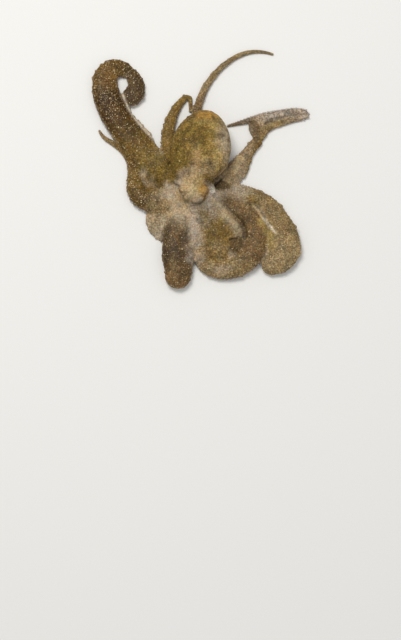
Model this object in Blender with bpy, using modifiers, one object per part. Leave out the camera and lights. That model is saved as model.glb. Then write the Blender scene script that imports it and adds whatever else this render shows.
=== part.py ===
"""A small long-armed octopus at rest on the sea bed, as a still, life-size model.

The animal lies on its arms with its back up and faces -Y. Its mantle leans back over the
arms towards +Y, and its left side is on +X. Sizes are in millimetres until a mesh is made,
and every piece rests on or above the plane z = 0.
"""

import math
from typing import NamedTuple

import bmesh
import bpy
import numpy as np
from mathutils import Matrix, Vector

MM = 0.001
MIDDLE = (1.0, -0.3)  # middle of the outline in the plan below, which becomes the origin
GAP = 0.3  # between two pieces that touch
SECTION_POINTS = 10
SECTION_SPACING = 4.2
MAX_TURN = 18  # degrees between two sections
SECTION_SINK = 0.16  # part of an arm's height that its flat underside cuts off
TIP_RINGS = (0.5, 0.8, 0.95)  # sine of the angle at each ring of a rounded end
SMOOTH_SIDES = math.radians(50)

# mantle: an egg with its blunt point towards +Y and a flattened underside
MANTLE_CENTRE = (0.9, 6.0, 13.6)
MANTLE_HALF = (17.9, 26.0, 11.6)
MANTLE_BEARING = -9.5
MANTLE_PITCH = -7.0
MANTLE_BELLY = 0.82
MANTLE_POINT = 0.03
NECK = ((-2.6, -13.0, 14.0), (0.19, 0.97, 0.12))  # a point and the normal of its open end

# head: a wedge that narrows to the front, with a low turret under each eye
HEAD_CENTRE = (-3.6, -17.5, 10.5)
HEAD_HALF = (10.6, 11.0, 8.6)
HEAD_BEARING = 14.0
HEAD_NARROWING = 0.32
EYE_RADIUS = 2.7
EYES = {"eye_left": (3.2, -20.6, 15.6), "eye_right": (-9.6, -19.4, 15.4)}
TURRET_RADIUS = 4.4
TURRET_DROP = 1.3
HEAD_CUT = ((-3.6, -18.0, 9.6), (0.0, -0.08, 1.0))  # a point and the normal of the cut under it

# crown: the low dome of flesh and web that the arms grow from
CROWN_CENTRE = (-7.5, -15.0)
CROWN_HALF = (16.5, 18.0, 10.0)
CROWN_SINK = 1.0
CROWN_WEBS = (  # place, half sizes and bearing of the skin between neighbouring arms
    ((-23.0, -36.0), (8.5, 12.0, 3.6), 24.0),
    ((24.0, -20.6), (8.5, 5.0, 4.4), -20.0),
    ((-22.0, 2.0), (8.0, 8.0, 5.0), 0.0),
)
SOFT_VOXEL = 0.9
SOFT_ROUNDS = 8
SOFT_KEEP = 0.10

# funnel: the short open tube on the animal's left, between mantle and crown
FUNNEL_START = (6.4, -14.6, 8.6)
FUNNEL_HEADING = (0.36, -0.92, 0.02)
FUNNEL_LENGTH = 7.5
FUNNEL_RADII = (2.4, 1.7)
FUNNEL_SHOULDER = 0.4  # part of its length by which it has narrowed by as much
FUNNEL_BORE = (1.1, 0.88)  # radius at the mouth and at the bottom
FUNNEL_DEPTH = 0.55  # part of its length that the bore goes in

# webs: low pads of skin stretched between arms: centre, half sizes, bearing, neighbours
WEBS = {
    "web_front": ((13.0, -41.0), (11.5, 15.0, 6.2), -18.0, ("arm_left_1", "arm_right_1")),
    "web_fold": ((34.4, 24.6), (3.4, 6.2, 2.2), 10.0, ("arm_left_3",)),
}
WEB_BELLY = 0.2


class Arm(NamedTuple):
    """An arm's centreline on the floor plane, its widths and how it is divided."""

    start: tuple  # where it leaves the crown's middle
    heading: float  # degrees from +X
    width: float
    flatness: float  # height as a part of the width
    bends: tuple  # (length, degrees turned to the left, width at the end), one after another
    lengths: tuple  # (name, number of bends) of each piece, the first part of the crown


ARMS = {
    "arm_left_1": Arm(
        (2.0, -19.0), -17, 12.0, 0.50,
        ((23, -14, 12.8), (6, -10, 13.6), (21, -62, 13), (11, -35, 13), (18, -47, 11.3),
         (12, -50, 8.5), (10, -33, 5.6), (10, 2, 4.6), (5, 0, 3.6)),
        (("root", 1), ("base", 1), ("middle", 1), ("outer", 2), ("end", 2), ("tip", 2)),
    ),
    "arm_left_2": Arm(
        (8.0, -12.8), -5, 8.4, 0.38,
        ((24, -16, 9.4), (7, -12, 9.6), (15, -34, 12.8), (13, -15, 19), (8, -12, 20.4),
         (10, -54, 15), (3, -14, 12)),
        (("root", 1), ("base", 2), ("middle", 1), ("end", 3)),
    ),
    "arm_left_3": Arm(
        (3.0, -24.0), 50, 14.0, 0.46,
        ((18, 0, 12), (17, 7, 8.5), (21, -8, 5.5), (20, -45, 4.2), (8, 27, 3.4),
         (4.2, 100, 3.4), (2.5, 40, 3.6), (11, 31, 4.2), (10, -3, 5), (8, -4, 4.4),
         (18, -4, 1.4)),
        (("root", 1), ("base", 1), ("middle", 2), ("turn", 3), ("return", 2), ("tip", 2)),
    ),
    "arm_left_4": Arm(
        (0.2, -22.0), 94, 7.5, 0.70,
        ((30, 0, 6.6), (6, 2, 6), (31, -25, 4.6), (32, -35, 3), (8, -15, 2.8), (19, -42, 1.4)),
        (("root", 1), ("base", 2), ("outer", 1), ("tip", 2)),
    ),
    "arm_right_1": Arm(
        (-5.4, -22.0), -121, 14.0, 0.42,
        ((18, 12, 15.5), (8, 17, 16), (12.5, 7, 18.4), (11, -14, 15)),
        (("root", 1), ("base", 1), ("end", 2)),
    ),
    "arm_right_2": Arm(
        (-6.4, -13.8), -144, 15.0, 0.38,
        ((21, -28, 16), (4, -16, 15.4), (11, -62, 11.6), (10, -20, 7.6),
         (18, 48, 4.0), (10, 12, 2.8), (9, -36, 1.4)),
        (("root", 1), ("base", 2), ("middle", 1), ("tip", 3)),
    ),
    "arm_right_3": Arm(
        (-13.6, -11.0), 137, 16.0, 0.36,
        ((24, -2, 16.8), (10, -6, 16.8), (18, -6, 16.8), (18, -18, 14.5), (13, -24, 12.8),
         (10, -75, 11.4), (11, -72, 10.5), (16, -45, 8.5)),
        (("root", 1), ("base", 2), ("middle", 2), ("bend", 1), ("curl", 1), ("end", 1)),
    ),
    "arm_right_4": Arm(
        (-11.2, -6.0), 116, 10.5, 0.55,
        ((13, -4, 9.8), (12, -21, 8.2), (23, -33, 5.5), (6, -14, 4.2), (2.8, -70, 3.2),
         (2.0, -60, 2.6), (2.4, -2, 2.2), (1.4, -4, 1.6)),
        (("root", 1), ("base", 1), ("middle", 2), ("turn", 2), ("tip", 2)),
    ),
}

COLOURS = {
    "mantle": (0.22, 0.14, 0.05),
    "head": (0.36, 0.26, 0.15),
    "crown": (0.33, 0.24, 0.14),
    "eye": (0.30, 0.15, 0.04),
    "funnel": (0.32, 0.28, 0.26),
    "web_front": (0.22, 0.14, 0.05),
    "web_fold": (0.20, 0.15, 0.12),
    "arm_left_1": (0.19, 0.12, 0.05),
    "arm_left_2": (0.25, 0.17, 0.09),
    "arm_left_3": (0.24, 0.17, 0.10),
    "arm_left_4": (0.25, 0.17, 0.09),
    "arm_right_1": (0.13, 0.09, 0.05),
    "arm_right_2": (0.14, 0.09, 0.04),
    "arm_right_3": (0.13, 0.08, 0.03),
    "arm_right_4": (0.18, 0.11, 0.04),
}
SKIN_ROUGHNESS = 0.35
EYE_ROUGHNESS = 0.08


def new_collection(name):
    """Makes a collection in the scene."""
    group = bpy.data.collections.new(name)
    bpy.context.scene.collection.children.link(group)
    return group


def plan(point):
    """A point of the plan, in metres from the origin."""
    x, y, z = point
    return Vector(((x - MIDDLE[0]) * MM, (y - MIDDLE[1]) * MM, z * MM))


def new_object(name, mesh_source, group):
    """Puts a bmesh in a new object whose origin is the model's."""
    mesh_source.normal_update()
    bmesh.ops.recalc_face_normals(mesh_source, faces=mesh_source.faces)
    mesh = bpy.data.meshes.new(name)
    mesh_source.to_mesh(mesh)
    mesh_source.free()
    piece = bpy.data.objects.new(name, mesh)
    group.objects.link(piece)
    return piece


def centreline(arm):
    """Follows an arm's bends at even spacing: place, heading and width at each section.

    Each bend is an arc, so the heading changes evenly along it, and the width too.
    The list of bend ends says at which section each bend stops.
    """
    x, y = arm.start
    heading, width = math.radians(arm.heading), arm.width
    rows, ends = [(x, y, heading, width)], [0]
    for length, turn, end_width in arm.bends:
        steps = max(2, round(length / SECTION_SPACING), math.ceil(abs(turn) / MAX_TURN))
        for step in range(1, steps + 1):
            middle = heading + math.radians(turn) * (step - 0.5) / steps
            x += math.cos(middle) * length / steps
            y += math.sin(middle) * length / steps
            share = step / steps
            here = heading + math.radians(turn) * share
            rows.append((x, y, here, width + (end_width - width) * share))
        heading += math.radians(turn)
        width = end_width
        ends.append(len(rows) - 1)
    return np.array(rows), ends


def section(row, flatness, shrink=1.0, grow=0.0, sink=0.0):
    """The closed outline of an arm at one section: an ellipse with a flat underside."""
    x, y, heading, width = row
    around = np.arange(SECTION_POINTS) * 2 * math.pi / SECTION_POINTS
    profile = (1 + SECTION_SINK) * (0.5 + 0.5 * np.sin(around)) - SECTION_SINK
    across = (width * shrink / 2 + grow) * np.cos(around)
    up = np.maximum(width * flatness * shrink * profile, -sink) + grow * np.sin(around)
    return [
        (x - math.sin(heading) * a, y + math.cos(heading) * a, u) for a, u in zip(across, up)
    ]


def loft(name, rings, group):
    """A closed body through rings of points, with a flat face on each end."""
    body = bmesh.new()
    loops = [[body.verts.new(plan(p)) for p in ring] for ring in rings]
    for near, far in zip(loops, loops[1:]):
        for i in range(len(near)):
            j = (i + 1) % len(near)
            body.faces.new((near[i], near[j], far[j], far[i]))
    body.faces.new(loops[0])
    body.faces.new(reversed(loops[-1]))
    return new_object(name, body, group)


def arm_piece(name, arm, first, last, group, grow=0.0, sink=0.0):
    """The length of an arm from the end of bend `first` to the end of bend `last`."""
    rows, ends = centreline(arm)
    rows = rows[ends[first] : ends[last] + 1].copy()
    headings = np.stack((np.cos(rows[:, 2]), np.sin(rows[:, 2])), axis=1)
    rows[0, :2] += headings[0] * ((GAP if first else 0.0) - grow)
    tip = last == len(arm.bends)
    if not tip:
        rows[-1, :2] += headings[-1] * grow
    rings = [section(row, arm.flatness, 1.0, grow, sink) for row in rows]
    for sine in TIP_RINGS if tip else ():
        row = rows[-1].copy()
        row[:2] += headings[-1] * sine * row[3] / 2
        rings.append(section(row, arm.flatness, math.sqrt(1 - sine * sine), grow, sink))
    return loft(name, rings, group)


def egg(
    name, centre, half, bearing, group, rings=16, sides=24, pitch=0.0, belly=1.0, point=0.0,
    narrow=0.0,
):
    """A sphere drawn out along Y, turned by `bearing` degrees about the vertical.

    `pitch` raises its +Y end, `belly` flattens its lower half, `point` sharpens its +Y end and
    `narrow` thins its -Y end.
    """
    body = bmesh.new()
    bmesh.ops.create_uvsphere(body, u_segments=sides, v_segments=rings, radius=1.0)
    turn = Matrix.Rotation(math.radians(bearing), 3, "Z")
    turn @= Matrix.Rotation(math.radians(pitch), 3, "X")
    for vert in body.verts:
        z, x, y = vert.co
        width = 1 + narrow * min(y, 0.0) - point * max(y, 0.0) ** 2
        reach = y * (1 + point * max(y, 0.0) ** 6)
        local = Vector((x * half[0] * width, reach * half[1], z * half[2] * width))
        local.z *= belly if z < 0 else 1.0
        vert.co = plan(turn @ local + Vector(centre))
    return new_object(name, body, group)


def cut_plane(piece, point, normal):
    """Removes what lies behind a plane and closes the cut."""
    body = bmesh.new()
    body.from_mesh(piece.data)
    geometry = body.verts[:] + body.edges[:] + body.faces[:]
    bmesh.ops.bisect_plane(
        body, geom=geometry, dist=1e-7, plane_co=plan(point), plane_no=normal, clear_inner=True
    )
    rim = [edge for edge in body.edges if edge.is_boundary]
    bmesh.ops.holes_fill(body, edges=rim, sides=0)
    bmesh.ops.recalc_face_normals(body, faces=body.faces)
    body.to_mesh(piece.data)
    body.free()


def subtract(piece, cutters):
    """Cuts every cutter out of a piece, exactly."""
    for cutter in cutters:
        cut = piece.modifiers.new("clear_" + cutter.name, "BOOLEAN")
        cut.object = cutter
        cut.operation = "DIFFERENCE"
        cut.solver = "EXACT"


def settle(piece):
    """Replaces a piece's mesh by what its modifiers make of it."""
    bpy.context.view_layer.update()
    evaluated = piece.evaluated_get(bpy.context.evaluated_depsgraph_get())
    mesh = bpy.data.meshes.new_from_object(evaluated)
    piece.modifiers.clear()
    piece.data = mesh


def as_cutter(piece):
    """Marks a piece as a tool that isn't part of the model."""
    piece.hide_render = True
    piece.display_type = "WIRE"
    return piece


def soft_join(name, pieces, group):
    """One soft body over several overlapping ones, with its creases filled."""
    body = bmesh.new()
    for piece in pieces:
        body.from_mesh(piece.data)
        bpy.data.objects.remove(piece)
    joined = new_object(name, body, group)
    skin = joined.modifiers.new("skin", "REMESH")
    skin.mode = "VOXEL"
    skin.voxel_size = SOFT_VOXEL * MM
    relax = joined.modifiers.new("relax", "SMOOTH")
    relax.factor = 0.5
    relax.iterations = SOFT_ROUNDS
    thin = joined.modifiers.new("thin", "DECIMATE")
    thin.ratio = SOFT_KEEP
    settle(joined)
    return joined


def finish(piece, colour, roughness):
    """Gives a piece its own material and smooth shading."""
    material = bpy.data.materials.new(piece.name)
    material.use_nodes = True
    shader = material.node_tree.nodes["Principled BSDF"]
    shader.inputs["Base Color"].default_value = (*colour, 1.0)
    shader.inputs["Roughness"].default_value = roughness
    shader.inputs["Metallic"].default_value = 0.0
    piece.data.materials.clear()
    piece.data.materials.append(material)
    piece.data.shade_smooth()
    piece.data.set_sharp_from_angle(angle=SMOOTH_SIDES)


def build_arms(model, tools):
    """Every length of every arm, and a slightly larger copy of each for clearing its neighbours."""
    pieces, larger = {}, {}
    for name, arm in ARMS.items():
        done = arm.lengths[0][1]
        for label, count in arm.lengths[1:]:
            piece_name = f"{name}_{label}"
            pieces[piece_name] = arm_piece(piece_name, arm, done, done + count, model)
            cutter = arm_piece(piece_name + "_room", arm, done, done + count, tools, grow=GAP)
            larger[piece_name] = as_cutter(cutter)
            done += count
    return pieces, larger


def build_roots(tools):
    """The start of each arm, which becomes part of the crown."""
    return [
        arm_piece(name + "_root", arm, 0, arm.lengths[0][1], tools, sink=CROWN_SINK)
        for name, arm in ARMS.items()
    ]


def build_funnel(name, group, grow=0.0):
    """A short tapered tube, open at its mouth."""
    heading = Vector(FUNNEL_HEADING).normalized()
    turn = heading.to_track_quat("Z", "Y").to_matrix()
    back, front = FUNNEL_RADII
    shoulder = back + FUNNEL_SHOULDER * (front - back)
    stations = [(0.0, back), (FUNNEL_SHOULDER, shoulder), (1.0, front)]
    if not grow:
        mouth, bottom = FUNNEL_BORE
        stations += [(1.0, mouth), (1.0 - FUNNEL_DEPTH, bottom)]
    around = np.arange(SECTION_POINTS) * 2 * math.pi / SECTION_POINTS
    rings = []
    for share, radius in stations:
        middle = Vector(FUNNEL_START) + heading * (share * (FUNNEL_LENGTH + 2 * grow) - grow)
        flat = [((radius + grow) * math.cos(a), (radius + grow) * math.sin(a), 0) for a in around]
        rings.append([middle + turn @ Vector(p) for p in flat])
    return loft(name, rings, group)


def build_body(tools):
    """Head, turrets, crown and arm roots as one soft body that stands flat on the floor."""
    parts = build_roots(tools)
    parts.append(
        egg("dome", (*CROWN_CENTRE, 0.0), CROWN_HALF, 0.0, tools, belly=CROWN_SINK / CROWN_HALF[2])
    )
    for (x, y), half, bearing in CROWN_WEBS:
        parts.append(egg("web", (x, y, 0.0), half, bearing, tools, belly=CROWN_SINK / half[2]))
    parts.append(egg("face", HEAD_CENTRE, HEAD_HALF, HEAD_BEARING, tools, narrow=HEAD_NARROWING))
    for name, (x, y, z) in EYES.items():
        half = (TURRET_RADIUS,) * 3
        parts.append(egg(name + "_turret", (x, y, z - TURRET_DROP), half, 0.0, tools))
    body = soft_join("body", parts, tools)
    cut_plane(body, (0.0, 0.0, 0.0), (0.0, 0.0, 1.0))
    return body


def main():
    """Builds the octopus from nothing."""
    for thing in list(bpy.data.objects):
        bpy.data.objects.remove(thing)
    model = new_collection("octopus")
    tools = new_collection("cutters")

    arms, rooms = build_arms(model, tools)
    shape = {"pitch": MANTLE_PITCH, "belly": MANTLE_BELLY, "point": MANTLE_POINT}
    mantle = egg("mantle", MANTLE_CENTRE, MANTLE_HALF, MANTLE_BEARING, model, **shape)
    larger = [half + GAP for half in MANTLE_HALF]
    mantle_room = as_cutter(
        egg("mantle_room", MANTLE_CENTRE, larger, MANTLE_BEARING, tools, **shape)
    )
    point, normal = NECK
    cut_plane(mantle, point, normal)
    cut_plane(mantle_room, Vector(point) - Vector(normal) * GAP, normal)
    subtract(mantle, [rooms[n] for n in rooms if n.startswith(("arm_left_4", "arm_right_4"))])
    subtract(arms["arm_right_2_tip"], [rooms["arm_right_3_base"]])

    pads, pad_rooms = {}, {}
    for name, (place, half, bearing, neighbours) in WEBS.items():
        pads[name] = egg(name, (*place, 0.0), half, bearing, model, belly=WEB_BELLY)
        cut_plane(pads[name], (0.0, 0.0, 0.0), (0.0, 0.0, 1.0))
        larger = [h + GAP for h in half]
        pad_rooms[name] = as_cutter(
            egg(name + "_room", (*place, 0.0), larger, bearing, tools, belly=WEB_BELLY)
        )
        subtract(pads[name], [rooms[n] for n in rooms if n.startswith(neighbours)])

    funnel = build_funnel("funnel", model)
    funnel_room = as_cutter(build_funnel("funnel_room", tools, grow=GAP))
    subtract(funnel, [mantle_room])
    eyes, eye_rooms = {}, []
    for name, place in EYES.items():
        eyes[name] = egg(name, place, (EYE_RADIUS,) * 3, 0.0, model, rings=8, sides=12)
        half = (EYE_RADIUS + GAP,) * 3
        eye_rooms.append(as_cutter(egg(name + "_room", place, half, 0.0, tools, rings=8, sides=12)))

    body = build_body(tools)
    subtract(body, [mantle_room, funnel_room, *eye_rooms, *pad_rooms.values(), *rooms.values()])
    settle(body)
    point, normal = HEAD_CUT
    head = bpy.data.objects.new("head", body.data.copy())
    crown = bpy.data.objects.new("crown", body.data.copy())
    bpy.data.objects.remove(body)
    for piece in (head, crown):
        model.objects.link(piece)
    up = Vector(normal).normalized()
    cut_plane(head, Vector(point) + up * GAP, up)
    cut_plane(crown, point, -up)

    for name, piece in arms.items():
        finish(piece, COLOURS[name.rsplit("_", 1)[0]], SKIN_ROUGHNESS)
    for piece in (mantle, head, crown, funnel, *pads.values()):
        finish(piece, COLOURS[piece.name], SKIN_ROUGHNESS)
    for piece in eyes.values():
        finish(piece, COLOURS["eye"], EYE_ROUGHNESS)


if __name__ == "__main__":
    main()
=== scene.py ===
"""Looks of a small long-armed octopus at rest: one skin over all its flesh, its suckers and its eyes.

Lengths and places are in millimetres on the plan that the model is drawn on, and become metres
from the model's origin when a mesh is made. The animal faces -Y, its left is +X and the floor is
z = 0.
"""

import logging
import math
from dataclasses import dataclass, field
from enum import Enum
from typing import Iterable, Optional, Sequence

import bmesh
import bpy
import numpy as np
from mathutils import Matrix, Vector


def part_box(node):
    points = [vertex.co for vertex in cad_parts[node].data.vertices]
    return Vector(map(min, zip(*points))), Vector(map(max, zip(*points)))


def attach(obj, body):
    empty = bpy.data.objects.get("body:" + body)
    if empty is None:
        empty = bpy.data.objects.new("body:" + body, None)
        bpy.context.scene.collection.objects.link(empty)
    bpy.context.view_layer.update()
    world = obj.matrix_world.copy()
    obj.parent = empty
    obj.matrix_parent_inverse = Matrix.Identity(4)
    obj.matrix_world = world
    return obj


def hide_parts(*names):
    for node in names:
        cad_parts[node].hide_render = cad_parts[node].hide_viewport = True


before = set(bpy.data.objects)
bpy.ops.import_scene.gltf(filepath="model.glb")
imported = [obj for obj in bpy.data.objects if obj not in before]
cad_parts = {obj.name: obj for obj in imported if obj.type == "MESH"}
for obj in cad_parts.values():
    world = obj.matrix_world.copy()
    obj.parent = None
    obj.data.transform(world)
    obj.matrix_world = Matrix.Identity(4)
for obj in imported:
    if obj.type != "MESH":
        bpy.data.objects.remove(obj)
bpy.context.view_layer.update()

Array = np.ndarray
Piece = bpy.types.Object
Mesh = bpy.types.Mesh
Tree = bpy.types.NodeTree
Node = bpy.types.Node
Socket = bpy.types.NodeSocket
LOG = logging.getLogger("octopus")

MM = 0.001
MIDDLE = np.array((1.0, -0.3, 0.0))  # the plan's point at the model's origin
BODY = "root"

VOXEL = 0.6  # size of the skin's first mesh
STEP = 0.5  # between two samples of an arm's centreline
EASE_SAMPLES = 11  # over which an arm's width is evened out
SECTION_SIDES = 28
RING_STRIDE = 2  # samples from one ring of an arm's body to the next
TIP_RINGS = np.array((0.3, 0.55, 0.75, 0.9, 0.98))  # part of a rounded tip's reach at each ring
LEAST_BUILT = 2.3  # thinnest arm that the first mesh holds; thinner ones are fitted afterwards
FIT_BELOW = (3.8, 5.4)  # an arm is fitted fully below the first width and not above the second
SLIM = (5.5, 1.5)  # widths over which an arm goes from its own flatness to that of a thin tip
SLIM_FLATNESS = 0.9
LIFT, LIFT_LIMITS = 0.085, (0.12, 1.1)  # an underside's level in widths, and its least and most
WIDEST = 0.4  # how far up its section an arm is widest
SIDE_POWER, UNDER_POWER = 0.92, 0.6  # how full the section's sides are, and how flat its underside
FLOOR_GAP = 0.08  # lowest level of the skin
LEVEL_EASE = 0.8  # over which a mark fades at its highest and lowest level
CHUNK = 2048  # places looked up at a time
HASH_STEPS = (374761393, 668265263, 974634777)  # odd numbers that mix a cell's three indices
HASH_SEED, HASH_MIX, HASH_BITS, HASH_SHOWN = 362437, 1274126177, 0xFFFFFFFF, 0xFFFFFF


# ---- numbers over whole arrays


def smoothstep(low: float, high: float, value: Array) -> Array:
    """From 0 at `low` to 1 at `high` as 3t^2 - 2t^3, t being the clamped share of the way."""
    t = np.clip((value - low) / (high - low), 0.0, 1.0)
    return t * t * (3.0 - 2.0 * t)


def between(low: float, high: float, value: Array, ease: float) -> Array:
    """1 from `low` to `high` and 0 outside, each edge eased over `ease` to either side."""
    return smoothstep(low - ease, low + ease, value) * smoothstep(high + ease, high - ease, value)


def bell(value: Array, middle: float, width: float) -> Array:
    """A bell curve: e to the minus square of the distance from the middle in widths."""
    return np.exp(-(((value - middle) / width) ** 2))


def blended(old: Array, new: Array, weight: Array) -> Array:
    """Goes from the old values to the new ones by a weight from 0 to 1."""
    return old + (new - old) * weight


def lattice(cells: Array, seed: int) -> Array:
    """A repeatable random number from 0 to 1 for each whole-number cell.

    Args:
        cells: Whole-number places, (n, 3).
        seed: Picks another set of numbers.

    Returns:
        One number for each cell, from the mixed bits of its indices.
    """
    mixed = sum(cells[:, i].astype(np.int64) * step for i, step in enumerate(HASH_STEPS))
    mixed = (mixed + seed * HASH_SEED) & HASH_BITS
    mixed = ((mixed ^ (mixed >> 13)) * HASH_MIX) & HASH_BITS
    return ((mixed ^ (mixed >> 16)) & HASH_SHOWN) / float(HASH_SHOWN)


def noise(points: Array, size: float, seed: int) -> Array:
    """Smooth noise from -1 to 1 whose lumps are about `size` across.

    Args:
        points: Places, (n, 3).
        size: Width of a lump.
        seed: Picks another pattern.

    Returns:
        Random numbers on a cubic lattice, eased between its corners.
    """
    scaled = points / size + 100.0
    cell = np.floor(scaled)
    part = smoothstep(0.0, 1.0, scaled - cell)
    total = np.zeros(len(points))
    for corner in range(8):
        offset = np.array((corner & 1, corner >> 1 & 1, corner >> 2 & 1))
        weight = np.prod(np.where(offset, part, 1.0 - part), axis=1)
        total += weight * lattice(cell + offset, seed)
    return 2.0 * total - 1.0


def fractal(points: Array, size: float, seed: int, octaves: int = 3) -> Array:
    """Noise with finer noise on top, each octave half as wide and half as strong."""
    return sum(noise(points, size / 2**k, seed + k) / 2**k for k in range(octaves))


def turn_matrix(bearing: float, pitch: float = 0.0) -> Array:
    """A turn about X and then about Z.

    Args:
        bearing: Degrees about Z.
        pitch: Degrees about X.

    Returns:
        The matrix, (3, 3).
    """
    b, p = math.radians(bearing), math.radians(pitch)
    about_z = np.array(((math.cos(b), -math.sin(b), 0), (math.sin(b), math.cos(b), 0), (0, 0, 1)))
    about_x = np.array(((1, 0, 0), (0, math.cos(p), -math.sin(p)), (0, math.sin(p), math.cos(p))))
    return about_z @ about_x


def unit(vector: Sequence[float]) -> Array:
    """The vector at length 1."""
    array = np.asarray(vector, float)
    return array / np.linalg.norm(array)


def norms(vectors: Array) -> Array:
    """The length of each vector."""
    return np.linalg.norm(vectors, axis=1)


def circle(count: int) -> Array:
    """Angles spread evenly over a whole turn, in radians."""
    return np.linspace(0, 2 * math.pi, count, endpoint=False)


def smooth_path(points: Sequence[Sequence[float]], count: int = 40) -> Array:
    """A smooth curve through a few points.

    Args:
        points: The points it passes, two or more.
        count: How many places to return.

    Returns:
        Places on a Catmull-Rom curve, whose direction at each point follows its neighbours.
    """
    p = np.asarray(points, float)
    padded = np.vstack((2 * p[0] - p[1], p, 2 * p[-1] - p[-2]))
    at = np.linspace(0, len(p) - 1, count)
    i = np.minimum(at.astype(int), len(p) - 2)
    t = (at - i)[:, None]
    a, b, c, d = (padded[i + k] for k in range(4))
    curve = (2 * a - 5 * b + 4 * c - d) * t**2 + (3 * b - a - 3 * c + d) * t**3
    return 0.5 * (2 * b + (c - a) * t + curve)


# ---- meshes


@dataclass
class Patch:
    """A closed surface: corner places in millimetres on the plan, and faces of three or four."""

    verts: Array
    faces: list


def tube(rings: Array) -> Patch:
    """A closed body through rings of points, with a fan over each end.

    Args:
        rings: A grid, (rings, sides, 3), counter-clockwise seen from the last ring.

    Returns:
        The patch, its faces pointing out.
    """
    count, sides = rings.shape[:2]
    index = np.arange(count * sides).reshape(count, sides)
    near, far = index[:-1], index[1:]
    quads = np.stack((near, np.roll(near, -1, 1), np.roll(far, -1, 1), far), axis=-1).reshape(-1, 4)
    first, last = count * sides, count * sides + 1
    start = np.stack((np.full(sides, first), np.roll(index[0], -1), index[0]), axis=-1)
    end = np.stack((np.full(sides, last), index[-1], np.roll(index[-1], -1)), axis=-1)
    poles = (rings[0].mean(axis=0), rings[-1].mean(axis=0))
    faces = quads.tolist() + start.tolist() + end.tolist()
    return Patch(np.vstack((rings.reshape(-1, 3), *poles)), faces)


def joined(patches: Iterable[Patch]) -> Patch:
    """Several patches as one, with nothing merged.

    Args:
        patches: The patches.

    Returns:
        One patch with all their corners and faces.
    """
    verts, faces, base = [], [], 0
    for patch in patches:
        verts.append(patch.verts)
        faces += [[corner + base for corner in face] for face in patch.faces]
        base += len(patch.verts)
    return Patch(np.vstack(verts), faces)


def to_metres(points: Array) -> Array:
    """Places on the plan in millimetres, as metres from the model's origin."""
    return (points - MIDDLE) * MM


def to_plan(points: Array) -> Array:
    """Places in metres from the model's origin, as millimetres on the plan."""
    return np.asarray(points, float) / MM + MIDDLE


def read_all(items: bpy.types.bpy_prop_collection, name: str, size: int, kind: type) -> Array:
    """Reads one property of all a mesh's corners or edges.

    Args:
        items: The corners or edges.
        name: The property.
        size: How many numbers it has.
        kind: Their type.

    Returns:
        The numbers, (items, size).
    """
    flat = np.empty(len(items) * size, kind)
    items.foreach_get(name, flat)
    return flat.reshape(-1, size)


def place_of(mesh: Mesh) -> Array:
    """A mesh's corner places, in millimetres on the plan."""
    return to_plan(read_all(mesh.vertices, "co", 3, np.float32))


def edge_pairs(mesh: Mesh) -> Array:
    """The two corners of each edge, (edges, 2)."""
    return read_all(mesh.edges, "vertices", 2, np.int32)


def normals_of(mesh: Mesh) -> Array:
    """The direction out of the surface at each corner."""
    return read_all(mesh.vertex_normals, "vector", 3, np.float32).astype(float)


def set_place(mesh: Mesh, points: Array) -> None:
    """Puts a mesh's corners at places given in millimetres on the plan."""
    mesh.vertices.foreach_set("co", to_metres(points).astype(np.float32).ravel())
    mesh.update()


def new_object(name: str, patch: Patch) -> Piece:
    """A smooth-shaded object at the origin, with the patch as its mesh.

    Args:
        name: Name of the object and its mesh.
        patch: The surface.

    Returns:
        The object, linked to the scene.
    """
    mesh = bpy.data.meshes.new(name)
    mesh.from_pydata(to_metres(patch.verts).tolist(), [], patch.faces)
    mesh.update()
    mesh.shade_smooth()
    piece = bpy.data.objects.new(name, mesh)
    bpy.context.scene.collection.objects.link(piece)
    return piece


def settle(piece: Piece) -> None:
    """Replaces a piece's mesh by what its modifiers make of it.

    Args:
        piece: The piece, which keeps no modifier.
    """
    bpy.context.view_layer.update()
    evaluated = piece.evaluated_get(bpy.context.evaluated_depsgraph_get())
    mesh = bpy.data.meshes.new_from_object(evaluated)
    piece.modifiers.clear()
    piece.data = mesh


def relax(points: Array, pairs: Array, rounds: int, share: Array) -> Array:
    """Moves each corner towards the middle of its neighbours, again and again.

    Args:
        points: Places, (n, 3).
        pairs: The two corners of each edge.
        rounds: How many times.
        share: How much of the way each corner moves in a round, from 0 to 1.

    Returns:
        The relaxed places.
    """
    a, b = pairs.T
    n = len(points)
    degree = (np.bincount(a, minlength=n) + np.bincount(b, minlength=n)).astype(float)
    points = points.copy()
    for _ in range(rounds):
        for axis in range(3):
            column = points[:, axis]
            total = np.bincount(a, column[b], n) + np.bincount(b, column[a], n)
            points[:, axis] = column + share * (total / degree - column)
    return points


def write_value(mesh: Mesh, name: str, values: Array) -> None:
    """Stores one number for each corner."""
    layer = mesh.attributes.new(name, "FLOAT", "POINT")
    layer.data.foreach_set("value", values.astype(np.float32))


def write_colour(mesh: Mesh, name: str, colours: Array) -> None:
    """Stores one colour for each corner, with full alpha."""
    layer = mesh.attributes.new(name, "FLOAT_COLOR", "POINT")
    layer.data.foreach_set("color", np.insert(colours, 3, 1.0, axis=1).astype(np.float32).ravel())


# ---- tones of the skin


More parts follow.
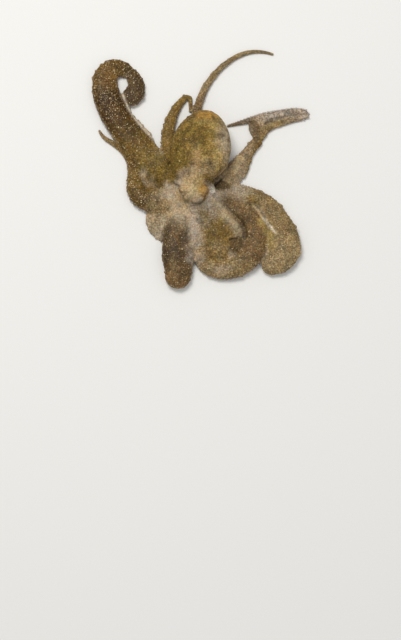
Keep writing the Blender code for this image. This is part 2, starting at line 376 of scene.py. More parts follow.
class Tone(Enum):
    """The colours that the skin takes, as linear red, green and blue."""

    BONE = (0.60, 0.52, 0.41)
    # Pale lilac brightened by painted light, for the shaded funnel.
    WHITE_LILAC = (0.64, 0.55, 0.47)
    # CREAM is also used as painted light on the head and at the third left arm's root.
    CREAM = (0.52, 0.37, 0.19)
    LILAC = (0.38, 0.305, 0.235)
    PALE_RIM = (0.37, 0.28, 0.165)
    PINK_TAN = (0.39, 0.305, 0.21)
    GOLD = (0.36, 0.255, 0.085)
    ROSE = (0.42, 0.26, 0.13)
    TAN = (0.30, 0.21, 0.10)
    AMBER = (0.42, 0.225, 0.045)
    RUSSET = (0.145, 0.077, 0.016)
    GREY_LILAC = (0.25, 0.185, 0.115)
    OCHRE = (0.23, 0.14, 0.032)
    UMBER = (0.25, 0.168, 0.07)
    OLIVE = (0.18, 0.115, 0.02)
    PURPLE = (0.165, 0.099, 0.039)
    BROWN = (0.165, 0.096, 0.018)
    DARK = (0.088, 0.048, 0.008)
    DUSK = (0.088, 0.054, 0.022)
    DEEP = (0.066, 0.030, 0.002)


@dataclass(frozen=True)
class Blotch:
    """A soft-edged oval patch of another tone, as it lies on the plan."""

    place: tuple  # (x, y)
    half: tuple  # half its length along the bearing's X and Y
    bearing: float
    tone: Tone
    strength: float = 1.0
    above: float = -2.0  # only skin higher than this takes it
    below: float = 40.0  # and only skin lower than this
    ragged: float = 0.3  # how far the edge wanders, in half lengths
    fade: tuple = (1.3, 0.45)  # where its edge ends and begins, in half lengths

    def weight(self, points: Array, wobble: Array) -> Array:
        """How much of the blotch shows at each place.

        Args:
            points: Places, (n, 3).
            wobble: Noise that makes the edge ragged.

        Returns:
            From 0 outside to `strength` inside, by the distance in half lengths.
        """
        b = math.radians(self.bearing)
        x, y = points[:, 0] - self.place[0], points[:, 1] - self.place[1]
        u = (x * math.cos(b) + y * math.sin(b)) / self.half[0]
        v = (-x * math.sin(b) + y * math.cos(b)) / self.half[1]
        shown = smoothstep(*self.fade, np.hypot(u, v) + self.ragged * wobble)
        return self.strength * shown * between(self.above, self.below, points[:, 2], LEVEL_EASE)


# ---- arms


@dataclass
class Trace:
    """Places on an arm's centreline, from its root to its tip."""

    along: Array  # millimetres from the root
    place: Array
    heading: Array
    width: Array
    height: Array  # level of the top
    lift: Array  # level of the underside

    def share(self) -> Array:
        """Each place's distance from the root as a part of the whole length."""
        return self.along / self.along[-1]

    def ahead(self) -> Array:
        """The direction of travel at each place, on the floor plane."""
        return np.stack((np.cos(self.heading), np.sin(self.heading)), axis=-1)

    def left(self) -> Array:
        """The direction to the left of travel at each place, on the floor plane."""
        return np.stack((-np.sin(self.heading), np.cos(self.heading)), axis=-1)

    def at(self, along: Array) -> "Trace":
        """The centreline at other distances from the root.

        Args:
            along: The distances.

        Returns:
            The places there, each value taken from its two neighbours.
        """
        columns = (*self.place.T, self.heading, self.width, self.height, self.lift)
        x, y, *rest = (np.interp(along, self.along, column) for column in columns)
        return Trace(along, np.stack((x, y), axis=-1), *rest)


@dataclass(frozen=True)
class Arm:
    """One arm, from the middle of the crown to its tip, and the tones along it."""

    name: str
    start: tuple
    heading: float
    width: float
    flatness: float  # height of its top in widths
    bends: tuple  # (length, degrees turned to the left, width at the end)
    root: float  # length that belongs to the crown
    tones: tuple  # (share of its length, tone)
    flecks: tuple = ((0.0, 0.5), (1.0, 0.5))  # (share of its length, density of pale flecks)
    webbed: bool = False  # its thin end lies in the web
    roll: tuple = ((0.0, 0.0, 72.0), (1.0, 0.0, 50.0))  # (share, degrees suckers turn right, row spread)
    cups: tuple = ((0.0, 1.0), (1.0, 1.0))  # (share, how long and far apart its suckers are)

    def trace(self) -> Trace:
        """Follows the bends: along each, heading and width change evenly.

        Returns:
            The samples, with eased widths, and rounder where the arm is thin.
        """
        lengths, turns, widths = (np.array(column, float) for column in zip(*self.bends))
        ends = np.append(0.0, np.cumsum(lengths))
        along = np.linspace(0.0, ends[-1], int(ends[-1] / STEP) + 1)
        heading = np.radians(self.heading + np.interp(along, ends, np.append(0.0, np.cumsum(turns))))
        width = np.pad(np.interp(along, ends, np.append(self.width, widths)), EASE_SAMPLES // 2, "edge")
        window = np.hanning(EASE_SAMPLES)
        width = np.convolve(width, window / window.sum(), "valid")
        middle = (heading[1:] + heading[:-1]) / 2
        step = np.diff(along)[:, None] * np.stack((np.cos(middle), np.sin(middle)), axis=-1)
        place = np.vstack((np.zeros(2), np.cumsum(step, axis=0))) + self.start
        flatness = blended(self.flatness, SLIM_FLATNESS, smoothstep(*SLIM, width))
        lift = np.clip(LIFT * width, *LIFT_LIMITS)
        return Trace(along, place, heading, width, width * flatness, lift)

    def cup_size(self, share: Array) -> Array:
        """How long and far apart its suckers are at a share of its length."""
        return np.interp(share, *zip(*self.cups))


def widest_level(height: Array, lift: Array) -> Array:
    """The level at which an arm with this top and underside is widest."""
    return lift + WIDEST * (height - lift)


def section(angle: Array, width: Array, height: Array, lift: Array) -> tuple:
    """The outline of an arm: a full dome over a flatter underside.

    Args:
        angle: Place round the outline, 0 on the left edge and a quarter turn at the top.
        width: The arm's width.
        height: Level of its top.
        lift: Level of its underside.

    Returns:
        Distances to the left of the centreline, and levels: above the widest level by the
        sine, and below it by a power of the sine that keeps the underside flat.
    """
    sine, cosine = np.sin(angle), np.cos(angle)
    across = 0.5 * width * np.sign(cosine) * np.abs(cosine) ** SIDE_POWER
    dome, belly = (1 - WIDEST) * np.abs(sine), WIDEST * np.abs(sine) ** UNDER_POWER
    return across, lift + (height - lift) * (WIDEST + np.where(sine >= 0, dome, -belly))


def arm_body(arm: Arm) -> Patch:
    """An arm's body as the first mesh needs it, nowhere thinner than LEAST_BUILT.

    Args:
        arm: The arm.

    Returns:
        Its section carried along the centreline, and narrowed past the end by the square
        root of 1 - t^2.
    """
    trace = arm.trace()
    last = len(trace.along) - 1
    rings = np.unique(np.append(np.arange(0, last, RING_STRIDE), last))
    pick = np.append(rings, np.full(len(TIP_RINGS), last))
    past = np.append(np.zeros(len(rings)), TIP_RINGS)
    width = np.maximum(trace.width[pick], LEAST_BUILT)
    lift = trace.lift[pick]
    height = np.maximum(trace.height[pick], lift + LEAST_BUILT)
    centre = trace.place[pick] + trace.ahead()[pick] * (past * width / 2)[:, None]
    shrink = np.sqrt(1 - past**2)[:, None]
    angle = circle(SECTION_SIDES)[None, :]
    across, level = section(angle, width[:, None], height[:, None], lift[:, None])
    middle = widest_level(height, lift)[:, None]
    flat = centre[:, None] + trace.left()[pick][:, None] * (across * shrink)[..., None]
    level = blended(middle, level, shrink)
    return tube(np.concatenate((flat, level[..., None]), axis=-1))


ARMS = (
    Arm(
        "arm_left_1", start=(2, -19), heading=-17, width=12, flatness=0.50, root=23,
        bends=(
            (23, -14, 12.8), (6, -10, 13.6), (21, -62, 13), (11, -35, 13), (18, -47, 11.3),
            (12, -50, 8.5), (10, -33, 5.6), (10, 2, 4.6), (5, 0, 3.6),
        ),
        tones=(
            (0, Tone.PINK_TAN), (0.2, Tone.UMBER), (0.28, Tone.PURPLE), (0.48, Tone.PURPLE),
            (0.58, Tone.UMBER), (0.72, Tone.TAN), (0.85, Tone.TAN), (1, Tone.LILAC),
        ),
        flecks=((0, 0.3), (0.4, 0.4), (0.7, 0.5), (1, 0.2)),
        webbed=True,
    ),
    Arm(
        "arm_left_2", start=(8, -12.8), heading=-5, width=8.4, flatness=0.38, root=24,
        bends=(
            (24, -16, 9.4), (7, -12, 9.6), (15, -34, 12.8), (13, -15, 19), (8, -12, 20.4),
            (10, -54, 15), (3, -14, 12),
        ),
        tones=(
            (0, Tone.TAN), (0.25, Tone.UMBER), (0.45, Tone.UMBER), (0.7, Tone.UMBER),
            (0.85, Tone.TAN), (1, Tone.TAN),
        ),
        flecks=((0, 0.3), (0.5, 0.5), (1, 0.6)),
    ),
    Arm(
        "arm_left_3", start=(3, -24), heading=50, width=14, flatness=0.46, root=18,
        bends=(
            (18, 0, 12), (18, 2, 8.4), (20, 5, 5.6), (12, -39, 4.2), (18.5, -4, 3), (2.4, 112, 3),
            (1, 42, 3.4), (10, 24, 4.2), (10, -3, 4.6), (8, 6, 4.2), (20, -1.5, 1.4),
        ),
        tones=(
            (0, Tone.PINK_TAN), (0.16, Tone.GREY_LILAC), (0.28, Tone.GREY_LILAC), (0.4, Tone.UMBER),
            (0.52, Tone.UMBER), (0.62, Tone.LILAC), (0.8, Tone.LILAC), (1, Tone.PURPLE),
        ),
        flecks=((0, 0.2), (0.3, 0.25), (1, 0.15)),
        roll=((0, 0, 60), (0.58, 0, 50), (0.65, 104, 22), (0.92, 96, 22), (1, 30, 40)),
        cups=((0, 1), (0.58, 1), (0.65, 2.6), (0.9, 2.2), (1, 1.2)),
    ),
    Arm(
        "arm_left_4", start=(0.2, -22), heading=94, width=7.5, flatness=0.70, root=30,
        bends=((30, 0, 6.6), (6, 2, 6), (31, -25, 4.6), (32, -35, 3), (8, -15, 2.8), (19, -42, 1.4)),
        tones=((0, Tone.UMBER), (0.45, Tone.PURPLE), (0.6, Tone.TAN), (1, Tone.UMBER)),
        flecks=((0, 0.2), (1, 0.3)),
    ),
    Arm(
        "arm_right_1", start=(-5.4, -22), heading=-118.6, width=14, flatness=0.42, root=18,
        bends=((18, 12, 15.8), (8, 17, 16.6), (12.5, 7, 19.2), (11, -14, 15.6)),
        tones=(
            (0, Tone.PINK_TAN), (0.25, Tone.UMBER), (0.45, Tone.DUSK), (0.75, Tone.DUSK),
            (1, Tone.PURPLE),
        ),
        flecks=((0, 0.2), (0.5, 0.25), (1, 0.4)),
    ),
    Arm(
        "arm_right_2", start=(-6.4, -13.8), heading=-144, width=15, flatness=0.38, root=21,
        bends=(
            (21, -28, 16), (4, -16, 15.4), (11, -62, 11.6), (10, -20, 7.6), (18, 48, 4),
            (10, 12, 2.8), (9, -36, 1.4),
        ),
        tones=(
            (0, Tone.PINK_TAN), (0.2, Tone.UMBER), (0.32, Tone.DARK), (0.5, Tone.BROWN),
            (0.8, Tone.BROWN), (1, Tone.UMBER),
        ),
        flecks=((0, 0.3), (0.3, 0.7), (0.6, 0.7), (1, 0.3)),
    ),
    Arm(
        "arm_right_3", start=(-13.6, -11), heading=137, width=16, flatness=0.36, root=24,
        bends=(
            (24, -2, 17.2), (10, -6, 17.6), (18, -6, 17.6), (18, -14, 17.2), (12.6, -24.5, 15.4),
            (11.7, -83.5, 12.2), (8, -46, 7.8), (9, -38, 11), (8, -50, 13),
        ),
        tones=(
            (0, Tone.TAN), (0.16, Tone.OLIVE), (0.28, Tone.BROWN), (0.39, Tone.DARK),
            (0.49, Tone.DEEP), (0.59, Tone.DEEP), (0.66, Tone.RUSSET), (0.74, Tone.RUSSET),
            (0.83, Tone.DARK), (1, Tone.DUSK),
        ),
        flecks=((0, 0.2), (0.25, 0.4), (0.45, 0.55), (0.62, 0.9), (0.85, 1), (1, 0.4)),
    ),
    Arm(
        "arm_right_4", start=(-11.2, -6), heading=116, width=10.5, flatness=0.55, root=13,
        bends=(
            (13, -4, 9.8), (12, -21, 8.2), (23, -33, 5.5), (6, -14, 4.2), (2.8, -70, 3.2),
            (2, -60, 2.6), (2.4, -2, 2.2), (4.6, -6, 1.6),
        ),
        tones=((0, Tone.OLIVE), (0.25, Tone.OCHRE), (0.6, Tone.OCHRE), (1, Tone.BROWN)),
        flecks=((0, 0.2), (0.5, 0.3), (1, 0.2)),
    ),
)


@dataclass
class Nearest:
    """For each of many places, the arm sample that it belongs to and where it lies from it."""

    arm: Array  # index in ARMS
    share: Array  # part of that arm's length
    along: Array  # millimetres from the root
    ways: tuple  # the direction of travel there, and the one to its left
    ahead: Array  # past the sample, along the arm
    left: Array  # to the left of it
    width: Array
    height: Array
    lift: Array
    outside: Array  # distance past the arm's edge, negative inside


def all_traces() -> list:
    """The centreline of every arm, in the order of ARMS."""
    return [arm.trace() for arm in ARMS]


@dataclass
class ArmField:
    """All centrelines together, to find which arm a place on the skin belongs to."""

    traces: list = field(default_factory=all_traces)

    def gathered(self, name: str) -> Array:
        """One value of the traces, for all arms' samples together."""
        return np.concatenate([getattr(trace, name) for trace in self.traces])

    def closest(self, points: Array) -> Array:
        """Finds for each place the sample whose edge is nearest, as seen from above.

        Args:
            points: Places, (n, 3).

        Returns:
            The index of each place's sample among all arms' samples together.
        """
        place = self.gathered("place").astype(np.float32)
        half = self.gathered("width").astype(np.float32) / 2
        flat = points[:, :2].astype(np.float32)
        best = np.empty(len(points), int)
        for first in range(0, len(points), CHUNK):
            part = flat[first : first + CHUNK]
            far = (part**2).sum(1)[:, None] + (place**2).sum(1)[None, :] - 2 * part @ place.T
            best[first : first + CHUNK] = (np.sqrt(np.maximum(far, 0)) - half).argmin(1)
        return best

    def nearest(self, points: Array) -> Nearest:
        """Looks up what belongs to the sample nearest to each place.

        Args:
            points: Places, (n, 3).

        Returns:
            What belongs to each place.
        """
        best = self.closest(points)
        which = np.repeat(np.arange(len(ARMS)), [len(trace.along) for trace in self.traces])
        share = np.concatenate([trace.share() for trace in self.traces])
        ahead = np.vstack([trace.ahead() for trace in self.traces])[best]
        left = np.vstack([trace.left() for trace in self.traces])[best]
        off = points[:, :2] - self.gathered("place").astype(np.float32)[best]
        along, width, height, lift = (
            self.gathered(name)[best] for name in ("along", "width", "height", "lift")
        )
        return Nearest(
            which[best], share[best], along, (ahead, left), (off * ahead).sum(1),
            (off * left).sum(1), width, height, lift, np.hypot(*off.T) - width / 2,
        )


# ---- head, mantle and crown


@dataclass(frozen=True)
class Egg:
    """A sphere drawn out along Y and turned, which may be pointed, flattened or narrowed."""

    centre: tuple
    half: tuple
    bearing: float = 0.0
    pitch: float = 0.0
    belly: float = 1.0  # flattens the lower half
    point: float = 0.0  # sharpens the +Y end
    narrow: float = 0.0  # thins the -Y end
    pole: float = 0.02  # angle left open at each end, in radians

    def surface(self, rings: int = 48, sides: int = 64) -> Array:
        """Points on the egg, ring by ring from its -Y end to its +Y end.

        Args:
            rings: Number of rings.
            sides: Points in each.

        Returns:
            A grid of places: the sphere's times the half sizes, the width changed along Y,
            then turned about X and Z and moved to the centre.
        """
        polar = np.linspace(self.pole, math.pi - self.pole, rings)[:, None]
        round_y = circle(sides)[None, :]
        y = -np.cos(polar) + 0 * round_y
        x, z = np.sin(polar) * np.sin(round_y), np.sin(polar) * np.cos(round_y)
        width = 1 + self.narrow * np.minimum(y, 0) - self.point * np.maximum(y, 0) ** 2
        reach = y * (1 + self.point * np.maximum(y, 0) ** 6)
        z = z * width * np.where(z < 0, self.belly, 1.0)
        local = np.stack((x * width, reach, z), axis=-1) * np.array(self.half)
        return local @ turn_matrix(self.bearing, self.pitch).T + np.array(self.centre)

    def far(self, points: Array) -> Array:
        """The distance of each place from the centre, in half sizes along the egg's own axes."""
        local = (points - self.centre) @ turn_matrix(self.bearing, self.pitch)
        return norms(local / np.array(self.half))


@dataclass(frozen=True)
class Mantle:
    """The bag of the body, leaning back over the arms, open towards the head."""

    egg: Egg = Egg((0.9, 6.0, 13.6), (18.2, 26.2, 11.6), -9.5, -7.0, 0.82, 0.03)
    neck: tuple = (-2.6, -13.0, 14.0)
    neck_normal: tuple = (0.19, 0.97, 0.12)
    flank: tuple = (12.4, -8.4, 12.0)  # the same on its left, where it gapes
    flank_normal: tuple = (-0.66, 0.74, 0.05)
    tuck: float = 0.8  # how far its front end is folded in, as a part of what lies past the neck
    nape: tuple = (16.0, 21.0)  # levels over which it is folded in less
    nape_share: float = 0.7
    shell: tuple = (1.14, 1.02)  # distances in half sizes over which skin comes to belong to it
    edge: tuple = (-2.5, 1.5)  # and those behind the neck
    foot: tuple = (4.5, 7.0)  # and the levels

    def body(self) -> Patch:
        """Its body for the first mesh.

        Returns:
            The egg, with what lies past neck and flank pressed back towards their planes.
        """
        rings = self.egg.surface(72, 80)
        back = self.tuck * (1.0 - self.nape_share * smoothstep(*self.nape, rings[..., 2:]))
        for place, normal, share in (
            (self.neck, unit(self.neck_normal), back), (self.flank, unit(self.flank_normal), self.tuck),
        ):
            past = np.minimum((rings - place) @ normal, 0.0)
            rings = rings - past[..., None] * normal * share
        return tube(rings)

    def share(self, points: Array) -> Array:
        """How far each place belongs to the mantle.

        Args:
            points: Places, (n, 3).

        Returns:
            From 0 to 1: 1 near its egg, behind the neck and above the arms.
        """
        behind = (points - self.neck) @ unit(self.neck_normal)
        on_egg = smoothstep(*self.shell, self.egg.far(points))
        return on_egg * smoothstep(*self.edge, behind) * smoothstep(*self.foot, points[:, 2])


# Centre, half sizes and bearing of each; a small belly gives a flat underside.
HEAD = Egg((-3.2, -16.8, 10.4), (10.9, 10.8, 8.6), 11, narrow=0.22)
CROWN = Egg((-7.5, -15, 0.9), (16.5, 18, 9.2), belly=0.02)
CROWN_WEBS = (
    Egg((-23, -36, 0.6), (8.5, 12, 3), 24, belly=0.05),
    Egg((24, -20.6, 0.6), (8.5, 5, 3.8), -20, belly=0.05),
    Egg((-21, 1, 0.6), (10, 11, 7), belly=0.05),
    Egg((-29.4, -5, 0.6), (8.4, 9.4, 3.2), belly=0.05),
    Egg((0.5, -30, 0.6), (8, 10, 5.2), belly=0.05),
    Egg((-1.4, -25.2, 4.6), (7.8, 5.4, 5.2), 8),
    Egg((6, -22.6, 3.6), (5, 5.4, 4.6), 30),
    Egg((-3.4, -38, 0.6), (4.4, 15, 5.4), 2, belly=0.05),
    Egg((37.4, -31, 0.6), (3.2, 10.5, 3.6), 34, belly=0.05),
    Egg((40.6, -44, 0.6), (3, 9, 3.4), 10, belly=0.05),
    Egg((39.8, -52, 0.6), (3.4, 6.5, 3.4), 10, belly=0.05),
    Egg((26, 0.6, 0.6), (4.4, 13, 4.2), -21, belly=0.05),
    Egg((47.9, 31.4, 0.4), (1.6, 13.5, 2), -81, belly=0.1),
    Egg((-45.3, 40.4, 0.5), (2.3, 9.5, 2.2), 25.3, belly=0.1),
    Egg((-35.2, 24.5, 0.5), (2.5, 13.5, 2.4), 39.8, belly=0.1),
    Egg((40, 28.2, 0.4), (3, 5.4, 2.2), -70, belly=0.1),
    Egg((14, -53, 0.6), (13, 6.5, 5), 0, belly=0.05),
    Egg((23, -48.6, 0.6), (5.5, 8, 5), 25, belly=0.05),
    Egg((-5.2, -54, 0.6), (4.2, 9, 3.8), 0, belly=0.05),
    Egg((0.6, -39, 0.6), (4.4, 13, 4.8), 0, belly=0.05),
)
NECK = Egg((-1.8, -10.8, 12.4), (9.8, 10, 10.2), 6)
WEB_FRONT = Egg((14.4, -42.6, 0.5), (13.8, 17.8, 5.8), -18, belly=0.05)
WEB_FOLD = Egg((34.4, 24.8, 0.4), (4.3, 6.8, 2.7), 10, belly=0.1)


@dataclass(frozen=True)
class Funnel:
    """The short tube on the animal's left that it breathes out through."""

    start: tuple = (5.2, -11.6, 8.8)
    heading: tuple = (0.36, -0.92, 0.06)
    length: float = 10.6
    radii: tuple = (3.1, 2.3)
    outline: tuple = (  # (part of its length, radius as a part of the even taper's)
        (0.0, 1.0), (0.25, 1.0), (0.5, 1.0), (0.75, 1.02), (0.85, 1.02), (0.92, 0.96),
        (0.97, 0.84), (1.0, 0.62),
    )
    sides: int = 24
    bore: float = 1.25
    depth: float = 3.2
    bored: float = 0.8  # only this far along and on is it hollowed
    well: float = 1.15  # radius of the well, in bores

    def body(self) -> Patch:
        """Its body for the first mesh.

        Returns:
            A cone frustum with a rounded lip, its sides reversed so that they face out.
        """
        ahead = unit(self.heading)
        side = unit(np.cross(ahead, (0.0, 0.0, 1.0)))
        t, swell = np.array(self.outline).T
        radius = np.interp(t, (0, 1), self.radii) * swell
        angle = circle(self.sides)[:, None]
        rim = np.cos(angle) * side + np.sin(angle) * np.cross(side, ahead)
        centre = np.array(self.start) + t[:, None] * self.length * ahead
        return tube((centre[:, None, :] + radius[:, None, None] * rim[None])[:, ::-1])

    def mouth(self, points: Array) -> Array:
        """The distance of each place from the middle of the tube's mouth."""
        return norms(points - self.start - self.length * unit(self.heading))

    def hollow(self, points: Array) -> Array:
        """Presses the mouth in along the tube's axis.

        Args:
            points: Places, (n, 3).

        Returns:
            The places, those within the bore moved back by the depth times one less the
            fourth power of the distance from the axis in well radii.
        """
        ahead = unit(self.heading)
        from_start = points - self.start
        along = from_start @ ahead
        radial = norms(from_start - along[:, None] * ahead)
        well = np.clip(1 - (radial / (self.well * self.bore)) ** 4, 0, 1)
        return points - (self.depth * well * (along > self.bored * self.length))[:, None] * ahead


@dataclass(frozen=True)
class Eye:
    """An eyeball, and the lids that the skin makes round it."""

    node: str
    gaze: tuple
    opening: tuple = (52.0, 31.0)  # half angles of the gap between the lids, along and across
    droop: float = 0.16  # how much less the upper lid opens than the lower
    turret: float = 3.9  # radius of the skin's bulge round it
    drop: float = 0.9  # how far under the ball the bulge lies
    lid: float = 0.28  # thickness of the lids
    least_lid: float = 0.22
    clearance: float = 0.24  # of the finished skin over the ball
    uneven: tuple = (0.10, 1.6)  # height and width of the lids' own lumps
    rim: tuple = (0.38, 0.14)  # height of the lids' edge, and what the upper one has more
    brow: tuple = (0.08, 0.34)  # the same for the fold over it
    furrow: float = 0.14  # depth of the furrow between edge and brow
    sink: float = 0.7  # how far the skin inside the opening dips under the ball
    reach: tuple = (3.0, 2.0)  # distances past the ball over which the lids' shape ends

    def centre(self) -> Array:
        """The middle of its CAD node, on the plan."""
        low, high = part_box(self.node)
        return to_plan((low + high) / 2)

    def radius(self) -> float:
        """Half the width of its CAD node."""
        low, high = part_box(self.node)
        return (high - low).x / 2 / MM

    def axes(self) -> tuple:
        """The gaze, the level direction across it, and the one square to both."""
        gaze, level = unit(self.gaze), unit(np.cross((0.0, 0.0, 1.0), self.gaze))
        return gaze, level, np.cross(gaze, level)

    def away(self, points: Array) -> Array:
        """The distance of each place from the middle of the lids' opening."""
        return norms(points - self.centre() - self.radius() * unit(self.gaze))

    def bulge(self) -> Patch:
        """The skin's bulge as the first mesh takes it."""
        centre = self.centre() - (0.0, 0.0, self.drop)
        return tube(Egg(tuple(centre), (self.turret,) * 3).surface(20, 28))

    def seen(self, points: Array) -> tuple:
        """Where places lie as seen from the eyeball's middle.

        Args:
            points: Places, (n, 3).

        Returns:
            Distances, directions, angles from the gaze in degrees, and turns round it in
            radians, a quarter turn at the top.
        """
        gaze, level, square = self.axes()
        from_eye = points - self.centre()
        far = norms(from_eye)
        way = from_eye / np.maximum(far, 1e-6)[:, None]
        angle = np.degrees(np.arccos(np.clip(way @ gaze, -1, 1)))
        return far, way, angle, np.arctan2(way @ square, way @ level)

    def lidded(self, points: Array) -> Array:
        """Opens the lids in the skin and raises their rims.

        Args:
            points: Places, (n, 3).

        Returns:
            The places, each moved along its line from the eye's middle, by its angle from the
            gaze in half openings: below 1 under the eyeball, at 1.3 up to the rim, near 1.7
            into a furrow, near 2.1 up to a brow, and past 2.6 not at all.
        """
        far, way, angle, turn = self.seen(points)
        radius, upper = self.radius(), np.sin(turn)
        across = self.opening[1] * (1.0 - self.droop * upper)
        gap = angle * np.hypot(np.cos(turn) / self.opening[0], upper / across)
        height, size = self.uneven
        lids = radius + self.lid + height * fractal(points, size, 61)
        lids += (self.rim[0] + self.rim[1] * upper) * bell(gap, 1.3, 0.22)
        lids += (self.brow[0] + self.brow[1] * np.maximum(upper, 0.0) ** 2) * bell(gap, 2.1, 0.32)
        lids = np.maximum(lids - self.furrow * bell(gap, 1.72, 0.14), radius + self.least_lid)
        inside = radius - self.sink * smoothstep(1.12, 0.98, gap)
        outside = blended(radius, lids, smoothstep(1.10, 1.22, gap))
        target = np.where(gap < 1.12, inside, outside)
        near = smoothstep(radius + self.reach[0], radius + self.reach[1], far)
        moved = blended(far, target, near * smoothstep(2.6, 1.9, gap))
        return self.centre() + way * moved[:, None]

    def cleared(self, points: Array) -> Array:
        """Lifts the skin round the opening off the eyeball.

        Args:
            points: Places, (n, 3).

        Returns:
            The places, those outside the opening pushed out to clear the ball.
        """
        far, way, angle, turn = self.seen(points)
        gap = angle * np.hypot(np.cos(turn) / self.opening[0], np.sin(turn) / self.opening[1])
        covered = (gap > 1.25) & (angle < 110.0) & (far > self.radius() - 1.6)
        lifted = np.where(covered, np.maximum(far, self.radius() + self.clearance), far)
        return self.centre() + way * lifted[:, None]


EYES = (
    Eye("eye_left", (0.80, -0.34, 0.50)),
    Eye("eye_right", (-0.74, -0.50, 0.45)),
)


# ---- folds and marks


@dataclass(frozen=True)
class Line:
    """A smooth line over the skin, as it lies on the plan."""

    path: tuple  # a few places, (x, y)
    half_width: float

    def reach(self, points: Array) -> tuple:
        """How near each place is to the line as seen from above.

        Args:
            points: Places, (n, 3).

        Returns:
            Distances in millimetres, and the nearest part of the line, from 0 to 1.
        """
        far, at = np.full(len(points), np.inf), np.zeros(len(points))
        line = smooth_path(self.path)
        for i, (x, y) in enumerate(line):
            d = np.hypot(points[:, 0] - x, points[:, 1] - y)
            closer = d < far
            far[closer], at[closer] = d[closer], i / (len(line) - 1)
        return far, at


@dataclass(frozen=True)
class Crease(Line):
    """A crease pressed into the skin with painted shade in its groove, or a ridge where its depth is
    negative.
    """

    depth: float
    levels: tuple = (1.5, 30.0)  # only skin between these levels takes it
    lip: float = 0.3  # height of the swellings beside it, as a part of the depth
    # how much painted shade darkens its groove
    dark: float = 1.0
    beside: float = 1.9  # where the swellings stand, in half widths
    level_ease: float = 0.5
    end: float = 0.09  # half the part of the line over which each end fades in

    def press(self, points: Array) -> tuple:
        """How far the skin moves out at each place, and how much painted shade darkens it in the groove.

        Args:
            points: Places, (n, 3).

        Returns:
            Moves in millimetres along the normal, and the painted shade's weight from 0 to 1, both
            bell curves over the distance from the line.
        """
        far, at = self.reach(points)
        weight = between(self.end, 1.0 - self.end, at, self.end)
        weight = weight * between(*self.levels, points[:, 2], self.level_ease)
        groove = bell(far, 0.0, self.half_width)
        lips = bell(far, self.beside * self.half_width, self.half_width)
        # The second value is the painted shade in the groove.
        return self.depth * (self.lip * lips - groove) * weight, self.dark * groove * weight


@dataclass(frozen=True)
class Streak(Line):
    """A soft-edged line of another tone."""

    tone: Tone
    strength: float = 1.0
    below: float = 40.0  # only skin lower than this takes it
    ragged: float = 0.35  # how far the edge wanders, in half widths
    end: tuple = (0.05, 0.07)  # how far in each end fades, and over how much of the line

    def weight(self, points: Array, wobble: Array) -> Array:
        """How much of the streak shows at each place.

        Args:
            points: Places, (n, 3).
            wobble: Noise that makes the edge ragged.

        Returns:
            A bell curve over the distance, fading out near both ends of the line.
        """
        far, at = self.reach(points)
        near = bell(np.maximum(far / self.half_width + self.ragged * wobble, 0.0), 0.0, 1.0)
        inset, ease = self.end
        level = smoothstep(self.below + LEVEL_EASE, self.below - LEVEL_EASE, points[:, 2])
        return self.strength * near * between(inset, 1.0 - inset, at, ease) * level


LOBE_RIM = ((6, -22), (10.2, -25.8), (16.2, -32.8), (21.6, -38.8), (23.8, -42.6), (23, -45.8))
LOBE_FOOT = ((9.6, -20.6), (13.6, -24), (19.6, -30.6), (25, -36.8), (27.6, -42.6), (26.8, -48.4))
PALE_RIDGE = ((-2.2, -25), (-2.4, -31), (-2.6, -39), (-2.6, -47), (-0.6, -53))

# A crease's dark share is painted shade in its groove.
CREASES = (  # path, half width, depth
    Crease(((-16.6, -9.8), (-14.6, -13.8), (-12.4, -17), (-10.4, -20.2)), 0.5, 0.7, dark=0.9),
    Crease(
        ((-6.4, -25.2), (-3.6, -26.6), (-0.6, -26.9), (2.2, -25.7), (4.2, -23.2), (5.4, -20)),
        0.4, 0.26, dark=0.85,
    ),
    Crease(((-11.4, -21.6), (-9.8, -23.6), (-8, -25.3), (-5.4, -26.6)), 0.4, 0.14, dark=0.55),
    Crease(((5.4, -16.6), (8, -14.6), (11.4, -11.4), (14.6, -8)), 0.8, 0.8, levels=(3, 9)),
    Crease(LOBE_RIM, 2, -1.3, lip=0.1, dark=0),
    Crease(LOBE_FOOT, 1, 1.2, dark=0.45),
    Crease(PALE_RIDGE, 2.8, -1.2, lip=0.1, dark=0),
    Crease(((2.6, -26), (2.2, -31), (2, -37), (2.4, -44)), 1.2, 0.5, dark=0.15),
    Crease(((-7.4, -30), (-7, -38), (-6.6, -46), (-5.6, -54)), 0.9, 0.6, dark=0.25),
    Crease(((17.4, -48.2), (19.4, -47.4), (21.4, -46.8), (23.4, -47.4)), 0.55, 1.2, levels=(2, 12)),
    Crease(((12, -18.6), (18, -21), (25, -22.4)), 1, 0.7, dark=0.3),
    Crease(((31, -22), (36, -27), (40, -35), (42, -45)), 0.7, 0.6, dark=0.6),
    Crease(((39, 27), (42.4, 28.8), (46, 30.2)), 1, 0.7, levels=(0.3, 6)),
    Crease(
        ((38.6, 28.8), (44, 30.4), (50, 31.6), (56, 32.6), (62.4, 33.4)),
        0.5, 0.5, levels=(0.3, 6), dark=0.8,
    ),
)

